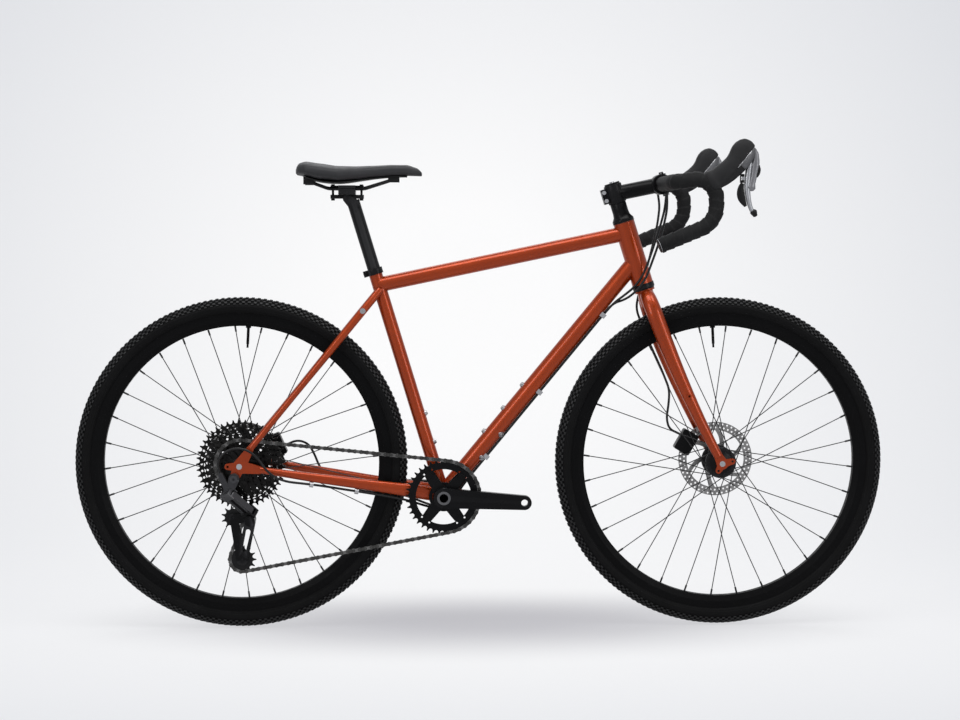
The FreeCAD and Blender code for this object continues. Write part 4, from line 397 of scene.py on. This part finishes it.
BY_SLOT = {
    "frame_paint": PAINT, "black_alloy": BLACK_ALLOY, "grey_alloy": GREY_ALLOY,
    "silver_steel": SILVER, "dark_steel": DARK_STEEL, "spoke_steel": SPOKE, "lever_alloy": LEVER,
    "black_plastic": PLASTIC, "tyre_rubber": TYRE, "grip_rubber": HOOD, "saddle_skin": SADDLE,
    "cable_housing": CABLE,
}
BY_NODE = {
    "front_rotor": FRONT_DISC, "rear_rotor": REAR_DISC, "bar_tape": TAPE,
    "saddle_rails": BLACK_ALLOY, "front_rim": RIM_ALLOY, "rear_rim": RIM_ALLOY,
    "handlebar": RIM_ALLOY, "chainring": RING_ALLOY, "lever_brackets": PANEL,
    "cassette_sprockets": COG_STEEL, "front_brake_caliper": RING_ALLOY,
    "rear_brake_caliper": RING_ALLOY,
}
SOFT_EDGED = [
    "front_brake_caliper", "rear_brake_caliper", "stem", "stem_faceplate", "right_crank_arm",
    "left_crank_arm", "derailleur_mount", "derailleur_outer_link", "derailleur_inner_link",
    "derailleur_knuckle", "saddle_clamp", "saddle_base", "seat_collar", "headset_spacers",
    "rear_dropouts",
]
EDGE_WIDTH, EDGE_SEGMENTS, EDGE_ANGLE = 0.0007, 2, math.radians(38)
WELD_REACH = 0.00001


def paint_nodes():
    for part in frame["record"]["subparts"]:
        name = part["node"]
        slots = nodes[name].data.materials
        slots.clear()
        slots.append(BY_NODE.get(name, BY_SLOT[part["material_slot"]]))


def soften_edges():
    """Small rounded edges on machined and moulded pieces."""
    for name in SOFT_EDGED:
        weld = nodes[name].modifiers.new("weld", "WELD")
        weld.merge_threshold = WELD_REACH
        bevel = nodes[name].modifiers.new("bevel", "BEVEL")
        bevel.width = EDGE_WIDTH
        bevel.segments = EDGE_SEGMENTS
        bevel.limit_method = "ANGLE"
        bevel.angle_limit = EDGE_ANGLE


paint_nodes()
soften_edges()


# Mesh helpers

def turn_of(i, count):
    """Angle of one of several even steps round a circle."""
    return 2 * math.pi * i / count


def squared(value, squareness):
    """A sine or cosine drawn out towards the corners of an oval."""
    return math.copysign(abs(value) ** (2 / squareness), value)


def cap(bm, row):
    """Closes an end ring with a fan to its middle."""
    middle = bm.verts.new(sum((vert.co for vert in row), Vector()) / len(row))
    for a, b in zip(row, row[1:] + row[:1]):
        bm.faces.new((a, b, middle))


def skin(rings, closed=False):
    """A mesh over rings of places, joined end to start or capped at both ends."""
    bm = bmesh.new()
    rows = [[bm.verts.new(place) for place in ring] for ring in rings]
    count = len(rows[0])
    for near, far in zip(rows, rows[1:] + rows[:1] if closed else rows[1:]):
        for j in range(count):
            k = (j + 1) % count
            bm.faces.new((near[j], near[k], far[k], far[j]))
    if not closed:
        cap(bm, rows[0])
        cap(bm, rows[-1])
    return bm


def swept(places, radius_at, around):
    """Rings about a line, turned as little as possible from one to the next."""
    rings = []
    up = Vector((0, 0, 1))
    travelled = 0.0
    for i, place in enumerate(places):
        along = places[min(i + 1, len(places) - 1)] - places[max(i - 1, 0)]
        along.normalize()
        if i:
            travelled += (place - places[i - 1]).length
        up = (up - along * up.dot(along)).normalized()
        aside = along.cross(up)
        ring = []
        for j in range(around):
            a = turn_of(j, around)
            ring.append(place + (up * math.cos(a) + aside * math.sin(a)) * radius_at(travelled, a))
        rings.append(ring)
    return rings


def curve_mesh(data):
    """The mesh that a curve makes."""
    holder = bpy.data.objects.new(data.name, data)
    scene.collection.objects.link(holder)
    bpy.context.view_layer.update()
    evaluated = holder.evaluated_get(bpy.context.evaluated_depsgraph_get())
    mesh = bpy.data.meshes.new_from_object(evaluated)
    bpy.data.objects.remove(holder)
    return mesh


def mesh_object(name, bm, material, smooth=True):
    mesh = bpy.data.meshes.new(name)
    bmesh.ops.recalc_face_normals(bm, faces=bm.faces)
    bm.to_mesh(mesh)
    bm.free()
    for polygon in mesh.polygons:
        polygon.use_smooth = smooth
    mesh.materials.append(material)
    made = bpy.data.objects.new(name, mesh)
    scene.collection.objects.link(made)
    return made


def declare(made, body, replaced=None):
    """States the body a piece rides on, and the CAD node it stands for."""
    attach(made, body)
    if replaced:
        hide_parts(replaced)


# Tyres: a casing with ridges on its sidewalls, and rows of small blocks

TYRE_RING, TYRE_RADIUS = 0.3305, 0.35
CASING, CASING_WALL, SIDEWALL, TREAD_TOP = 0.0179, 0.003, 0.0200, 0.0206
SHOULDER_ANGLE, SHOULDER_SPAN = 66, 20
# Ridges as (angle from the crown, height)
RIDGES, RIDGE_SPAN = ((88, 0.0003), (108, 0.0005), (121, 0.0006)), 1.5
BEAD_ANGLE, OUTER_STEP, INNER_STEP = 129, 1.5, 8.0
# The bead's places in the rim as (distance from the axle, half width)
BEAD = ((0.3170, 0.0134), (0.3145, 0.0122))
CASING_STEPS, TREAD_PITCHES = 288, 172
# Layers of a block as (tube radius, share of its size), from its foot to its top
BLOCK_LAYERS = ((CASING - 0.0008, 1.0), (TREAD_TOP - 0.0004, 0.92), (TREAD_TOP, 0.74))
BLOCK_CORNERS = ((-1, -1), (1, -1), (1, 1), (-1, 1))
# Blocks as (angle, length, width, skew), and for the rows beside the crown a shift in half pitches
CROWN_BLOCK = (0, 0.0062, 0.0042, 0.0)
TREAD_ROWS = [(14, 0.0064, 0.0038, 0.0010, 0.0), (28, 0.0066, 0.0040, 0.0022, 1.0),
              (43, 0.0070, 0.0044, 0.0018, 0.0), (58, 0.0074, 0.0046, 0.0, 1.0),
              (71, 0.0066, 0.0034, 0.0, 0.0)]


def casing_radius(angle):
    """Tube radius of the casing at an angle from the crown, with ridges near the bead."""
    a = abs(angle)
    blend = min(1.0, max(0.0, (a - SHOULDER_ANGLE) / SHOULDER_SPAN))
    radius = CASING + (SIDEWALL - CASING) * blend * blend * (3 - 2 * blend)
    for ridge, height in RIDGES:
        radius += height * math.exp(-((a - ridge) / RIDGE_SPAN) ** 2)
    return radius


def on_tyre(axle, turn, angle, radius):
    """A place on the tyre: turn about the axle, angle from the crown to the side, tube radius."""
    out = TYRE_RING + radius * math.cos(math.radians(angle))
    y = radius * math.sin(math.radians(angle))
    return axle + Vector((out * math.cos(turn), y, out * math.sin(turn)))


def block(bm, axle, turn, angle, length, width, skew):
    """One tread block, its top a little smaller than its foot."""
    rows = []
    for radius, grow in BLOCK_LAYERS:
        row = []
        for u, w in BLOCK_CORNERS:
            along = (u * length + w * skew) / 2 * grow / TYRE_RADIUS
            across = math.degrees(w * width / 2 * grow / radius)
            row.append(bm.verts.new(on_tyre(axle, turn + along, angle + across, radius)))
        rows.append(row)
    for low, high in zip(rows, rows[1:]):
        for j in range(4):
            k = (j + 1) % 4
            bm.faces.new((low[j], low[k], high[k], high[j]))
    bm.faces.new(rows[-1])
    bm.faces.new(rows[0][::-1])


def casing_ring(axle, turn):
    """A closed section of the casing: outside, one bead, inside, the other bead."""
    last_outer, last_inner = int(BEAD_ANGLE / OUTER_STEP), int(BEAD_ANGLE / INNER_STEP)
    outer = [i * OUTER_STEP for i in range(-last_outer, last_outer + 1)]
    inner = [i * INNER_STEP for i in range(last_inner, -last_inner - 1, -1)]
    spoke = Vector((math.cos(turn), 0, math.sin(turn)))
    ring = [on_tyre(axle, turn, a, casing_radius(a)) for a in outer]
    ring += [axle + spoke * out + Vector((0, y, 0)) for out, y in BEAD]
    ring += [on_tyre(axle, turn, a, CASING - CASING_WALL) for a in inner]
    ring += [axle + spoke * out - Vector((0, y, 0)) for out, y in BEAD[::-1]]
    return ring


def make_tyre(name, replaced, body, axle):
    bm = skin([casing_ring(axle, turn_of(i, CASING_STEPS)) for i in range(CASING_STEPS)], True)
    casing_faces = len(bm.faces)
    for i in range(TREAD_PITCHES):
        turn = turn_of(i, TREAD_PITCHES)
        block(bm, axle, turn, *CROWN_BLOCK)
        for angle, length, width, skew, shift in TREAD_ROWS:
            shifted = turn + shift * math.pi / TREAD_PITCHES
            for side in (-1, 1):
                block(bm, axle, shifted, side * angle, length, width, side * skew)
    made = mesh_object(name, bm, TYRE, smooth=False)
    # Painted highlight: the blocks get the lighter rubber
    made.data.materials.append(TREAD_PAINTED_LIGHTER)
    for polygon in made.data.polygons:
        if polygon.index < casing_faces:
            polygon.use_smooth = True
        else:
            polygon.material_index = 1
    declare(made, body, replaced)


make_tyre("front_tyre_knobbed", "front_tyre", "front_wheel", FRONT_AXLE)
make_tyre("rear_tyre_knobbed", "rear_tyre", "rear_wheel", REAR_AXLE)


# Bar tape: one strip wound round the bar, each turn lapping the last

GRIP_RISE = math.radians(22.5)
BAR_DROP, END_SETBACK = 0.128, 0.031
TAPE_START, TAPE_RADIUS, TAPE_BENDS = 0.057, 0.0146, (0.034, 0.040, 0.050)
TAPE_PITCH, TAPE_LAP, LAP_RISE, LAP_FALL = 0.0185, 0.0019, 0.07, 0.95
TAPE_STEP, TAPE_AROUND = 0.0016, 48


def straight_run(start, end, step):
    """Places from a start to an end, both left out."""
    steps = max(1, int((end - start).length / step))
    return [start + (end - start) * (i / steps) for i in range(1, steps)]


def bent_line(corners, radii, step):
    """Places along straight runs joined by round bends."""
    places = [corners[0]]
    for before, corner, after, radius in zip(corners, corners[1:], corners[2:], radii):
        back, ahead = (before - corner).normalized(), (after - corner).normalized()
        half = back.angle(ahead) / 2
        reach = radius / math.tan(half)
        centre = corner + (back + ahead).normalized() * (radius / math.sin(half))
        first, last = corner + back * reach - centre, corner + ahead * reach - centre
        sweep = first.angle(last)
        axis = first.cross(last).normalized()
        count = max(2, int(radius * sweep / step))
        places += straight_run(places[-1], centre + first, step)
        places += [centre + Matrix.Rotation(sweep * i / count, 3, axis) @ first
                   for i in range(count + 1)]
    return places + straight_run(places[-1], corners[-1], step) + [corners[-1]]


def tape_path(side):
    """The bar's line from the start of the tape to the end of the grip."""
    shoulder = BAR_CENTRE + beside(side)
    hook_top = HOOK_TOP + beside(side)
    grip_end = shoulder + Vector((-END_SETBACK, 0, -BAR_DROP))
    hook_low = grip_end + Vector((1, 0, math.tan(GRIP_RISE))) * (hook_top.x - grip_end.x)
    start = BAR_CENTRE + Vector((0, side * TAPE_START, 0))
    return bent_line([start, shoulder, hook_top, hook_low, grip_end], TAPE_BENDS, TAPE_STEP)


def make_tape(side_name, side):
    def lap(travelled, a):
        share = (travelled / TAPE_PITCH - side * a / (2 * math.pi)) % 1.0
        return TAPE_RADIUS + TAPE_LAP * min(1.0, share / LAP_RISE) * (1.0 - LAP_FALL * share)

    rings = swept(tape_path(side), lap, TAPE_AROUND)
    made = mesh_object(side_name + "_bar_tape", skin(rings), TAPE)
    declare(made, "fork", "bar_tape")


for side_name, side in SIDES:
    make_tape(side_name, side)


# Steering cables between the bar and the down tube, in one fixed shape; on the bike they bend as
# the fork turns

CABLE_RADIUS, CABLE_AROUND = 0.0025, 16
# Routes in millimetres, from the tape downwards
SHIFT_ROUTE = [(382.2, -66, 924.8), (382, -61, 897), (375, -51, 862), (364, -41, 822),
               (352, -34, 783), (339, -31, 748), (322, -27, 724), (301, -18, 706)]
HOSE_ROUTE = [(382.2, -74, 924.8), (385, -70, 896), (380, -61, 860), (370, -51, 818),
              (357, -44, 778), (344, -40, 742), (325, -34, 715), (303, -20, 697)]
DOWN_TUBE_AXIS = Vector((0.636, 0, 0.772)).normalized()
CLIP_DISTANCE, CLIP_LEAD = 0.516, 0.026
CABLE_OFFSET, UNDER_TUBE = 0.006, 0.02035


def under_tube(distance_up, y):
    """A place under the down tube, by its distance up from the bottom bracket."""
    under = Vector((DOWN_TUBE_AXIS.z, 0, -DOWN_TUBE_AXIS.x))
    drop = math.sqrt(UNDER_TUBE ** 2 - y ** 2)
    place = BRACKET + DOWN_TUBE_AXIS * distance_up + under * drop
    return Vector((place.x, y, place.z))


def smooth_line(points):
    """The line of a NURBS spline along a route, as places close together."""
    data = bpy.data.curves.new("route", "CURVE")
    data.dimensions = "3D"
    data.resolution_u = 10
    spline = data.splines.new("NURBS")
    spline.points.add(len(points) - 1)
    for made, place in zip(spline.points, points):
        made.co = (*place, 1)
    spline.order_u = 3
    spline.use_endpoint_u = True
    mesh = curve_mesh(data)
    places = [vert.co.copy() for vert in mesh.vertices]
    bpy.data.meshes.remove(mesh)
    return places


def make_steering_cable(name, route, side):
    points = [Vector(place) / 1000 for place in route]
    points += [under_tube(CLIP_DISTANCE + CLIP_LEAD, side * CABLE_OFFSET),
               under_tube(CLIP_DISTANCE, side * CABLE_OFFSET)]
    rings = swept(smooth_line(points), lambda travelled, a: CABLE_RADIUS, CABLE_AROUND)
    made = mesh_object(name, skin(rings), CABLE)
    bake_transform(made)
    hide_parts("steering_cables")


make_steering_cable("shift_housing_at_head", SHIFT_ROUTE, -1)
make_steering_cable("rear_hose_at_head", HOSE_ROUTE, 1)


# Saddle: a firm padded cover with a crowned top, drawn-in sides and a shallow channel

# Stations as (share of the length, share of the half width, top and underside in millimetres
# above the rails), from the tail to the nose
SADDLE_STATIONS = [
    (0.0, 0.52, 42, 28), (0.025, 0.72, 53, 27), (0.08, 0.9, 56.5, 23.5), (0.19, 1.0, 52.5, 16.5),
    (0.33, 0.93, 47.5, 13.5), (0.47, 0.65, 47, 17), (0.6, 0.45, 48.5, 22), (0.75, 0.335, 50.5, 26),
    (0.88, 0.28, 50, 27), (0.96, 0.215, 43.5, 26.5), (1.0, 0.12, 34, 26)]
SADDLE_LENGTH, SADDLE_HALF, RAIL_LEVEL = 0.265, 0.071, 0.930054
SADDLE_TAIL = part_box("saddle_cover")[0].x
SADDLE_STEPS, SADDLE_AROUND = 110, 72
TOP_SQUARENESS, UNDER_SQUARENESS = 2.4, 3.2
CHANNEL_START, CHANNEL_END, CHANNEL_DEPTH, CHANNEL_HALF = 0.18, 0.86, 0.0016, 0.008
EASED = 0.35


def between(column, share):
    """A station value at a share of the length, partly eased from one station to the next."""
    for near, far in zip(SADDLE_STATIONS, SADDLE_STATIONS[1:]):
        if share <= far[0]:
            t = (share - near[0]) / (far[0] - near[0])
            t = t * t * (3 - 2 * t) * EASED + t * (1 - EASED)
            return near[column] + (far[column] - near[column]) * t
    return SADDLE_STATIONS[-1][column]


def saddle_ring(share):
    half = SADDLE_HALF * between(1, share)
    top = RAIL_LEVEL + between(2, share) * MILLIMETRE
    low = RAIL_LEVEL + between(3, share) * MILLIMETRE
    ring = []
    for j in range(SADDLE_AROUND):
        a = turn_of(j, SADDLE_AROUND)
        c, s = math.cos(a), math.sin(a)
        squareness = UNDER_SQUARENESS if s < 0 else TOP_SQUARENESS
        y = half * squared(c, squareness)
        z = (top + low) / 2 + (top - low) / 2 * squared(s, squareness)
        if s > 0 and CHANNEL_START < share < CHANNEL_END:
            along = (share - CHANNEL_START) / (CHANNEL_END - CHANNEL_START)
            z -= CHANNEL_DEPTH * math.sin(math.pi * along) * math.exp(-(y / CHANNEL_HALF) ** 2)
        ring.append(Vector((SADDLE_TAIL + SADDLE_LENGTH * share, y, z)))
    return ring


def make_saddle():
    rings = [saddle_ring(i / SADDLE_STEPS) for i in range(SADDLE_STEPS + 1)]
    made = mesh_object("saddle_padded_cover", skin(rings), SADDLE)
    smooth = made.modifiers.new("smooth", "SMOOTH")
    smooth.factor = 0.5
    smooth.iterations = 6
    declare(made, "saddle", "saddle_cover")


make_saddle()


# Flat plates with many openings, drawn in millimetres about an axle

SAME_PLACE = 0.000002


def at_angle(radius, degrees):
    return radius * math.cos(math.radians(degrees)), radius * math.sin(math.radians(degrees))


def circle(radius, count, centre=(0, 0)):
    return [(centre[0] + radius * math.cos(turn_of(i, count)),
             centre[1] + radius * math.sin(turn_of(i, count))) for i in range(count)]


def hole_row(radius, count, hole, phase=0.0):
    """Small round holes in a ring."""
    return [circle(hole, 10, at_angle(radius, 360 * i / count + phase)) for i in range(count)]


def windows(inside, outside, angles, arm_inside, arm_outside, sweep=0):
    """Openings between arms at the given angles, the arms' half widths given at both ends."""
    side_steps, far_steps, near_steps = 8, 12, 6
    made = []
    for i, first in enumerate(angles):
        second = angles[(i + 1) % len(angles)] + (360 if i + 1 == len(angles) else 0)
        sides = ([], [])
        for j in range(side_steps + 1):
            share = j / side_steps
            radius = inside + (outside - inside) * share
            half = math.degrees((arm_inside + (arm_outside - arm_inside) * share) / radius)
            sides[0].append((radius, first + sweep * share + half))
            sides[1].append((radius, second + sweep * share - half))
        start, end = sides[0][-1][1], sides[1][-1][1]
        far = [(outside, start + (end - start) * j / far_steps) for j in range(1, far_steps)]
        start, end = sides[0][0][1], sides[1][0][1]
        near = [(inside, end + (start - end) * j / near_steps) for j in range(1, near_steps)]
        made.append([at_angle(*place) for place in sides[0] + far + sides[1][::-1] + near])
    return made


def add_plate(bm, axle, outlines, low, high):
    """A plate between two widths across the bike: an outline, and the rest openings in it."""
    data = bpy.data.curves.new("plate", "CURVE")
    data.dimensions = "2D"
    data.fill_mode = "BOTH"
    data.extrude = (high - low) / 2
    for outline in outlines:
        spline = data.splines.new("POLY")
        spline.points.add(len(outline) - 1)
        for made, (x, z) in zip(spline.points, outline):
            made.co = (x, z, 0, 1)
        spline.use_cyclic_u = True
    mesh = curve_mesh(data)
    to_bike = Matrix(((1, 0, 0, 0), (0, 0, -1, (low + high) / 2), (0, 1, 0, 0), (0, 0, 0, 1)))
    mesh.transform(Matrix.Translation(axle) @ Matrix.Scale(MILLIMETRE, 4) @ to_bike)
    bm.from_mesh(mesh)
    bpy.data.meshes.remove(mesh)


def plate_object(name, bm, material, body, replaced=None):
    bmesh.ops.remove_doubles(bm, verts=bm.verts, dist=SAME_PLACE)
    declare(mesh_object(name, bm, material, smooth=False), body, replaced)


# Brake discs, with the lockring's collar beside the hub

DISC_RADIUS, DISC_BORE, DISC_HALF, COLLAR_RADIUS = 80, 17, 0.9, 21
DISC_ARMS = [60 * i for i in range(6)]
DISC_HOLES, DISC_HOLE, HOLE_RINGS = 46, 2.1, ((75.8, 0.0), (67.8, 180 / 46))


def make_disc(name, axle, y, material, body, replaced):
    bore = circle(DISC_BORE, 48)
    outlines = [circle(DISC_RADIUS, 144), bore] + windows(28, 62, DISC_ARMS, 5.5, 5.0, sweep=26)
    for radius, phase in HOLE_RINGS:
        outlines += hole_row(radius, DISC_HOLES, DISC_HOLE, phase)
    bm = bmesh.new()
    add_plate(bm, axle, outlines, y - DISC_HALF, y + DISC_HALF)
    add_plate(bm, axle, [circle(COLLAR_RADIUS, 24), bore], y + 1.0, y + 3.0)
    plate_object(name, bm, material, body, replaced)


make_disc("front_disc", FRONT_AXLE, 39.5, FRONT_DISC, "front_wheel", "front_rotor")
make_disc("rear_disc", REAR_AXLE, 55.5, REAR_DISC, "rear_wheel", "rear_rotor")


# Cassette: sprockets with holes and, from the middle ones on, windows, with rings between them

COGS = (11, 13, 15, 17, 20, 23, 26, 30, 34, 39, 45)
CHAINED, CHAINED_PHASE = 6, 131.4917
CHAIN_PITCH, CHAIN_LINE = 12.7, 45.0
ROLLER_SEAT, SEAT_TURNS = 4.3, (55, 28, 0, -28, -55)
TOOTH_RISE, TOOTH_HALF = 3.2, 0.9
COG_SPACING, COG_THICKNESS = 3.9, 1.6
COG_BORE, SPACER_WALL = 17.05, 3.5
PIERCED_FROM, OPEN_FROM = 20, 26


def pitch_radius(teeth):
    return CHAIN_PITCH / (2 * math.sin(math.pi / teeth))


def toothed(teeth, phase):
    """Outline of a sprocket with a round seat at each roller."""
    radius, step = pitch_radius(teeth), 360.0 / teeth
    tip = radius + TOOTH_RISE
    tip_half = math.degrees(TOOTH_HALF / tip)
    outline = []
    for i in range(teeth):
        middle = phase + i * step
        roller = at_angle(radius, middle)
        for turn in SEAT_TURNS:
            away = at_angle(ROLLER_SEAT, middle + 180 + turn)
            outline.append((roller[0] + away[0], roller[1] + away[1]))
        outline += [at_angle(tip, middle + step / 2 + turn) for turn in (-tip_half, tip_half)]
    return outline


def make_cassette():
    bm = bmesh.new()
    half = COG_THICKNESS / 2
    bore = circle(COG_BORE, 40)
    for i, teeth in enumerate(COGS):
        y = -CHAIN_LINE + (i - CHAINED) * COG_SPACING
        phase = CHAINED_PHASE if i == CHAINED else 90.0 + 7 * i
        root = pitch_radius(teeth) - ROLLER_SEAT
        outlines = [toothed(teeth, phase), bore]
        if teeth >= PIERCED_FROM:
            outlines += hole_row(root - 4.2, int(teeth * 0.8), 2.5, 3 * i)
        if teeth >= OPEN_FROM:
            arms = [60 * k + 13 * i for k in range(6)]
            outlines += windows(COG_BORE + 7, root - 9.0, arms, 4.5, 5.0, sweep=18)
        add_plate(bm, REAR_AXLE, outlines, y - half, y + half)
        if i + 1 < len(COGS):
            spacer = [circle(COG_BORE + SPACER_WALL, 40), bore]
            add_plate(bm, REAR_AXLE, spacer, y + half, y + COG_SPACING - half)
    plate_object("cassette_openwork", bm, COG_STEEL, "cassette", "cassette_sprockets")


make_cassette()


# Chainring web behind the spider, its four arms pierced, and the ring round the hollow spindle

WEB_ARMS, WEB_RADIUS, WEB_BORE, WEB_FACES = (49, 122, 232, 306), 67.5, 24, (-46.2, -44.4)
WEB_HOLE, WEB_HOLE_RING, WEB_HOLE_TURNS = 2.0, 62.5, (-9, 9)
CAP_RADIUS, CAP_BORE, CAP_FACES = 14.2, 9.3, (-70.7, -69.2)


def make_crank_plates():
    outlines = [circle(WEB_RADIUS, 120), circle(WEB_BORE, 48)] + windows(31, 58.5, WEB_ARMS, 13, 11)
    for angle in WEB_ARMS:
        outlines += [circle(WEB_HOLE, 12, at_angle(WEB_HOLE_RING, angle + turn))
                     for turn in WEB_HOLE_TURNS]
    bm = bmesh.new()
    add_plate(bm, BRACKET, outlines, *WEB_FACES)
    plate_object("chainring_web", bm, RING_ALLOY, "crankset")
    bm = bmesh.new()
    add_plate(bm, BRACKET, [circle(CAP_RADIUS, 48), circle(CAP_BORE, 48)], *CAP_FACES)
    plate_object("crank_cap_ring", bm, PANEL, "crankset")


make_crank_plates()


# Brake hoods: a rubber grip with a bulged horn, and beside the lever grey cheeks over rubber lips

# Stations as (x, z, half tall, half wide) in millimetres
HOOD_STATIONS = [
    (446, 937, 20, 15), (462, 946, 21.5, 16.2), (478, 956.5, 22.5, 17), (492, 968, 22.5, 17.3),
    (504, 981, 23.5, 17.6), (512.5, 995, 25, 17.4), (518, 1007, 23.5, 16),
    (521.5, 1016.5, 18.5, 13), (523.5, 1022.5, 11.5, 8.5), (524.5, 1025, 5, 4)]
OVAL_SQUARENESS, HOOD_AROUND = 2.5, 40
# The line where the grip ends, and the share of it below which the lips lie
EDGE_LOW, EDGE_HIGH = Vector((0.493166, 0, 0.957753)), Vector((0.538166, 0, 1.012753))
CHEEK_FOOT = 0.3
LEVER_ROOM, GRIP_SEAM, LIP_SEAM = 0.0089, 0.0004, 0.0002


def oval_piece(stations, side, around):
    """A smooth closed piece through oval stations beside one grip."""
    rings = []
    for i, (x, z, tall, wide) in enumerate(stations):
        before, after = stations[max(i - 1, 0)], stations[min(i + 1, len(stations) - 1)]
        along = Vector((after[0] - before[0], 0, after[1] - before[1])).normalized()
        across = Vector((-along.z, 0, along.x))
        ring = []
        for j in range(around):
            a = turn_of(j, around)
            y = wide * squared(math.cos(a), OVAL_SQUARENESS)
            rise = tall * squared(math.sin(a), OVAL_SQUARENESS)
            ring.append((Vector((x, y, z)) + across * rise) / 1000 + beside(side))
        rings.append(ring)
    bm = skin(rings)
    bmesh.ops.recalc_face_normals(bm, faces=bm.faces)
    bmesh.ops.subdivide_edges(bm, edges=bm.edges, cuts=2, use_grid_fill=True, smooth=1.0)
    return bm


def cut_away(bm, place, outward):
    """Removes what lies beyond a plane and closes the cut."""
    geometry = list(bm.verts) + list(bm.edges) + list(bm.faces)
    bmesh.ops.bisect_plane(bm, geom=geometry, plane_co=place, plane_no=outward, clear_outer=True)
    bmesh.ops.holes_fill(bm, edges=[edge for edge in bm.edges if edge.is_boundary])


def make_hood(side_name, side):
    upward = (EDGE_HIGH - EDGE_LOW).normalized()
    ahead = Vector((upward.z, 0, -upward.x))
    grip = oval_piece(HOOD_STATIONS, side, HOOD_AROUND)
    cut_away(grip, EDGE_LOW, ahead)
    made = mesh_object(side_name + "_hood_grip", grip, HOOD)
    declare(made, "fork", "brake_hoods")
    parting = EDGE_LOW.lerp(EDGE_HIGH, CHEEK_FOOT)
    parts = (("_cheek", -upward, PANEL, "grey_alloy"), ("_lip", upward, HOOD, "grip_rubber"))
    for face, outward in FACES:
        for part, away, material, slot_name in parts:
            bm = oval_piece(HOOD_STATIONS, side, HOOD_AROUND)
            cut_away(bm, EDGE_LOW + ahead * GRIP_SEAM, -ahead)
            inner_face = beside(side) + Vector((0, outward * LEVER_ROOM, 0))
            cut_away(bm, inner_face, Vector((0, -outward, 0)))
            cut_away(bm, parting - away * LIP_SEAM, away)
            made = mesh_object(side_name + "_hood_" + face + part, bm, material)
            declare(made, "fork", "lever_brackets")


for side_name, side in SIDES:
    make_hood(side_name, side)


# Lever trim: a grey rounded nose over the top of each lever, a black bump ahead and a black tip

NOSE_STATIONS = [(534, 1008, 2, 3), (538, 1002, 5, 6), (540, 990, 7, 7.6), (539.5, 974, 8, 7.6),
                 (537, 956, 7, 7), (533.5, 938, 6.6, 6.6), (531, 924, 5.6, 5.8)]
BUMP_STATIONS = [(544, 976, 1.5, 3), (546, 970, 3.5, 5.5), (546, 962, 4.2, 6), (543.5, 954, 3.4, 5),
                 (541.5, 950, 1.5, 3)]
TIP_STATIONS = [(535.5, 884, 4.9, 4.9), (540, 875, 4.9, 4.9), (541.5, 872, 3.6, 3.6)]
LEVER_TRIM = (("_lever_nose", NOSE_STATIONS, NOSE, "lever_alloy"),
              ("_lever_bump", BUMP_STATIONS, PLASTIC, "black_plastic"),
              ("_lever_tip", TIP_STATIONS, PLASTIC, "black_plastic"))
TRIM_AROUND = 28

for side_name, side in SIDES:
    for name, stations, material, slot_name in LEVER_TRIM:
        made = mesh_object(side_name + name, oval_piece(stations, side, TRIM_AROUND), material)
        declare(made, side_name + "_lever")


# Bar trim: a silver ring at the bar's end, and bright lines along the grip's edge

END_RING_RADIUS, END_RING_WIRE, END_RING_STEPS = 0.0132, 0.0011, 40
LINE_START, LINE_SPAN, LINE_WIRE = 0.2, 0.62, 0.0009
LINE_BULGE, LINE_TAPER = 0.0172, 0.0012
WIRE_AROUND = 12


def make_wire(name, places, radius, closed=False):
    """A thin round silver piece along a line of places."""
    rings = swept(places, lambda travelled, a: radius, WIRE_AROUND)
    declare(mesh_object(name, skin(rings, closed), SILVER), "fork")


def make_bar_trim(side_name, side):
    path = tape_path(side)
    aside = Vector((0, 1, 0))
    up = (path[-1] - path[-4]).normalized().cross(aside)
    ring = []
    for i in range(END_RING_STEPS):
        a = turn_of(i, END_RING_STEPS)
        ring.append(path[-1] + (aside * math.cos(a) + up * math.sin(a)) * END_RING_RADIUS)
    make_wire(side_name + "_bar_end_ring", ring, END_RING_WIRE, closed=True)
    for face, outward in FACES:
        line = []
        for share in (0.0, 0.25, 0.5, 0.75, 1.0):
            bulge = outward * (LINE_BULGE - LINE_TAPER * share)
            place = EDGE_LOW.lerp(EDGE_HIGH, LINE_START + LINE_SPAN * share)
            line.append(place + beside(side) + Vector((0, bulge, 0)))
        make_wire(side_name + "_edge_line_" + face, line, LINE_WIRE)


for side_name, side in SIDES:
    make_bar_trim(side_name, side)
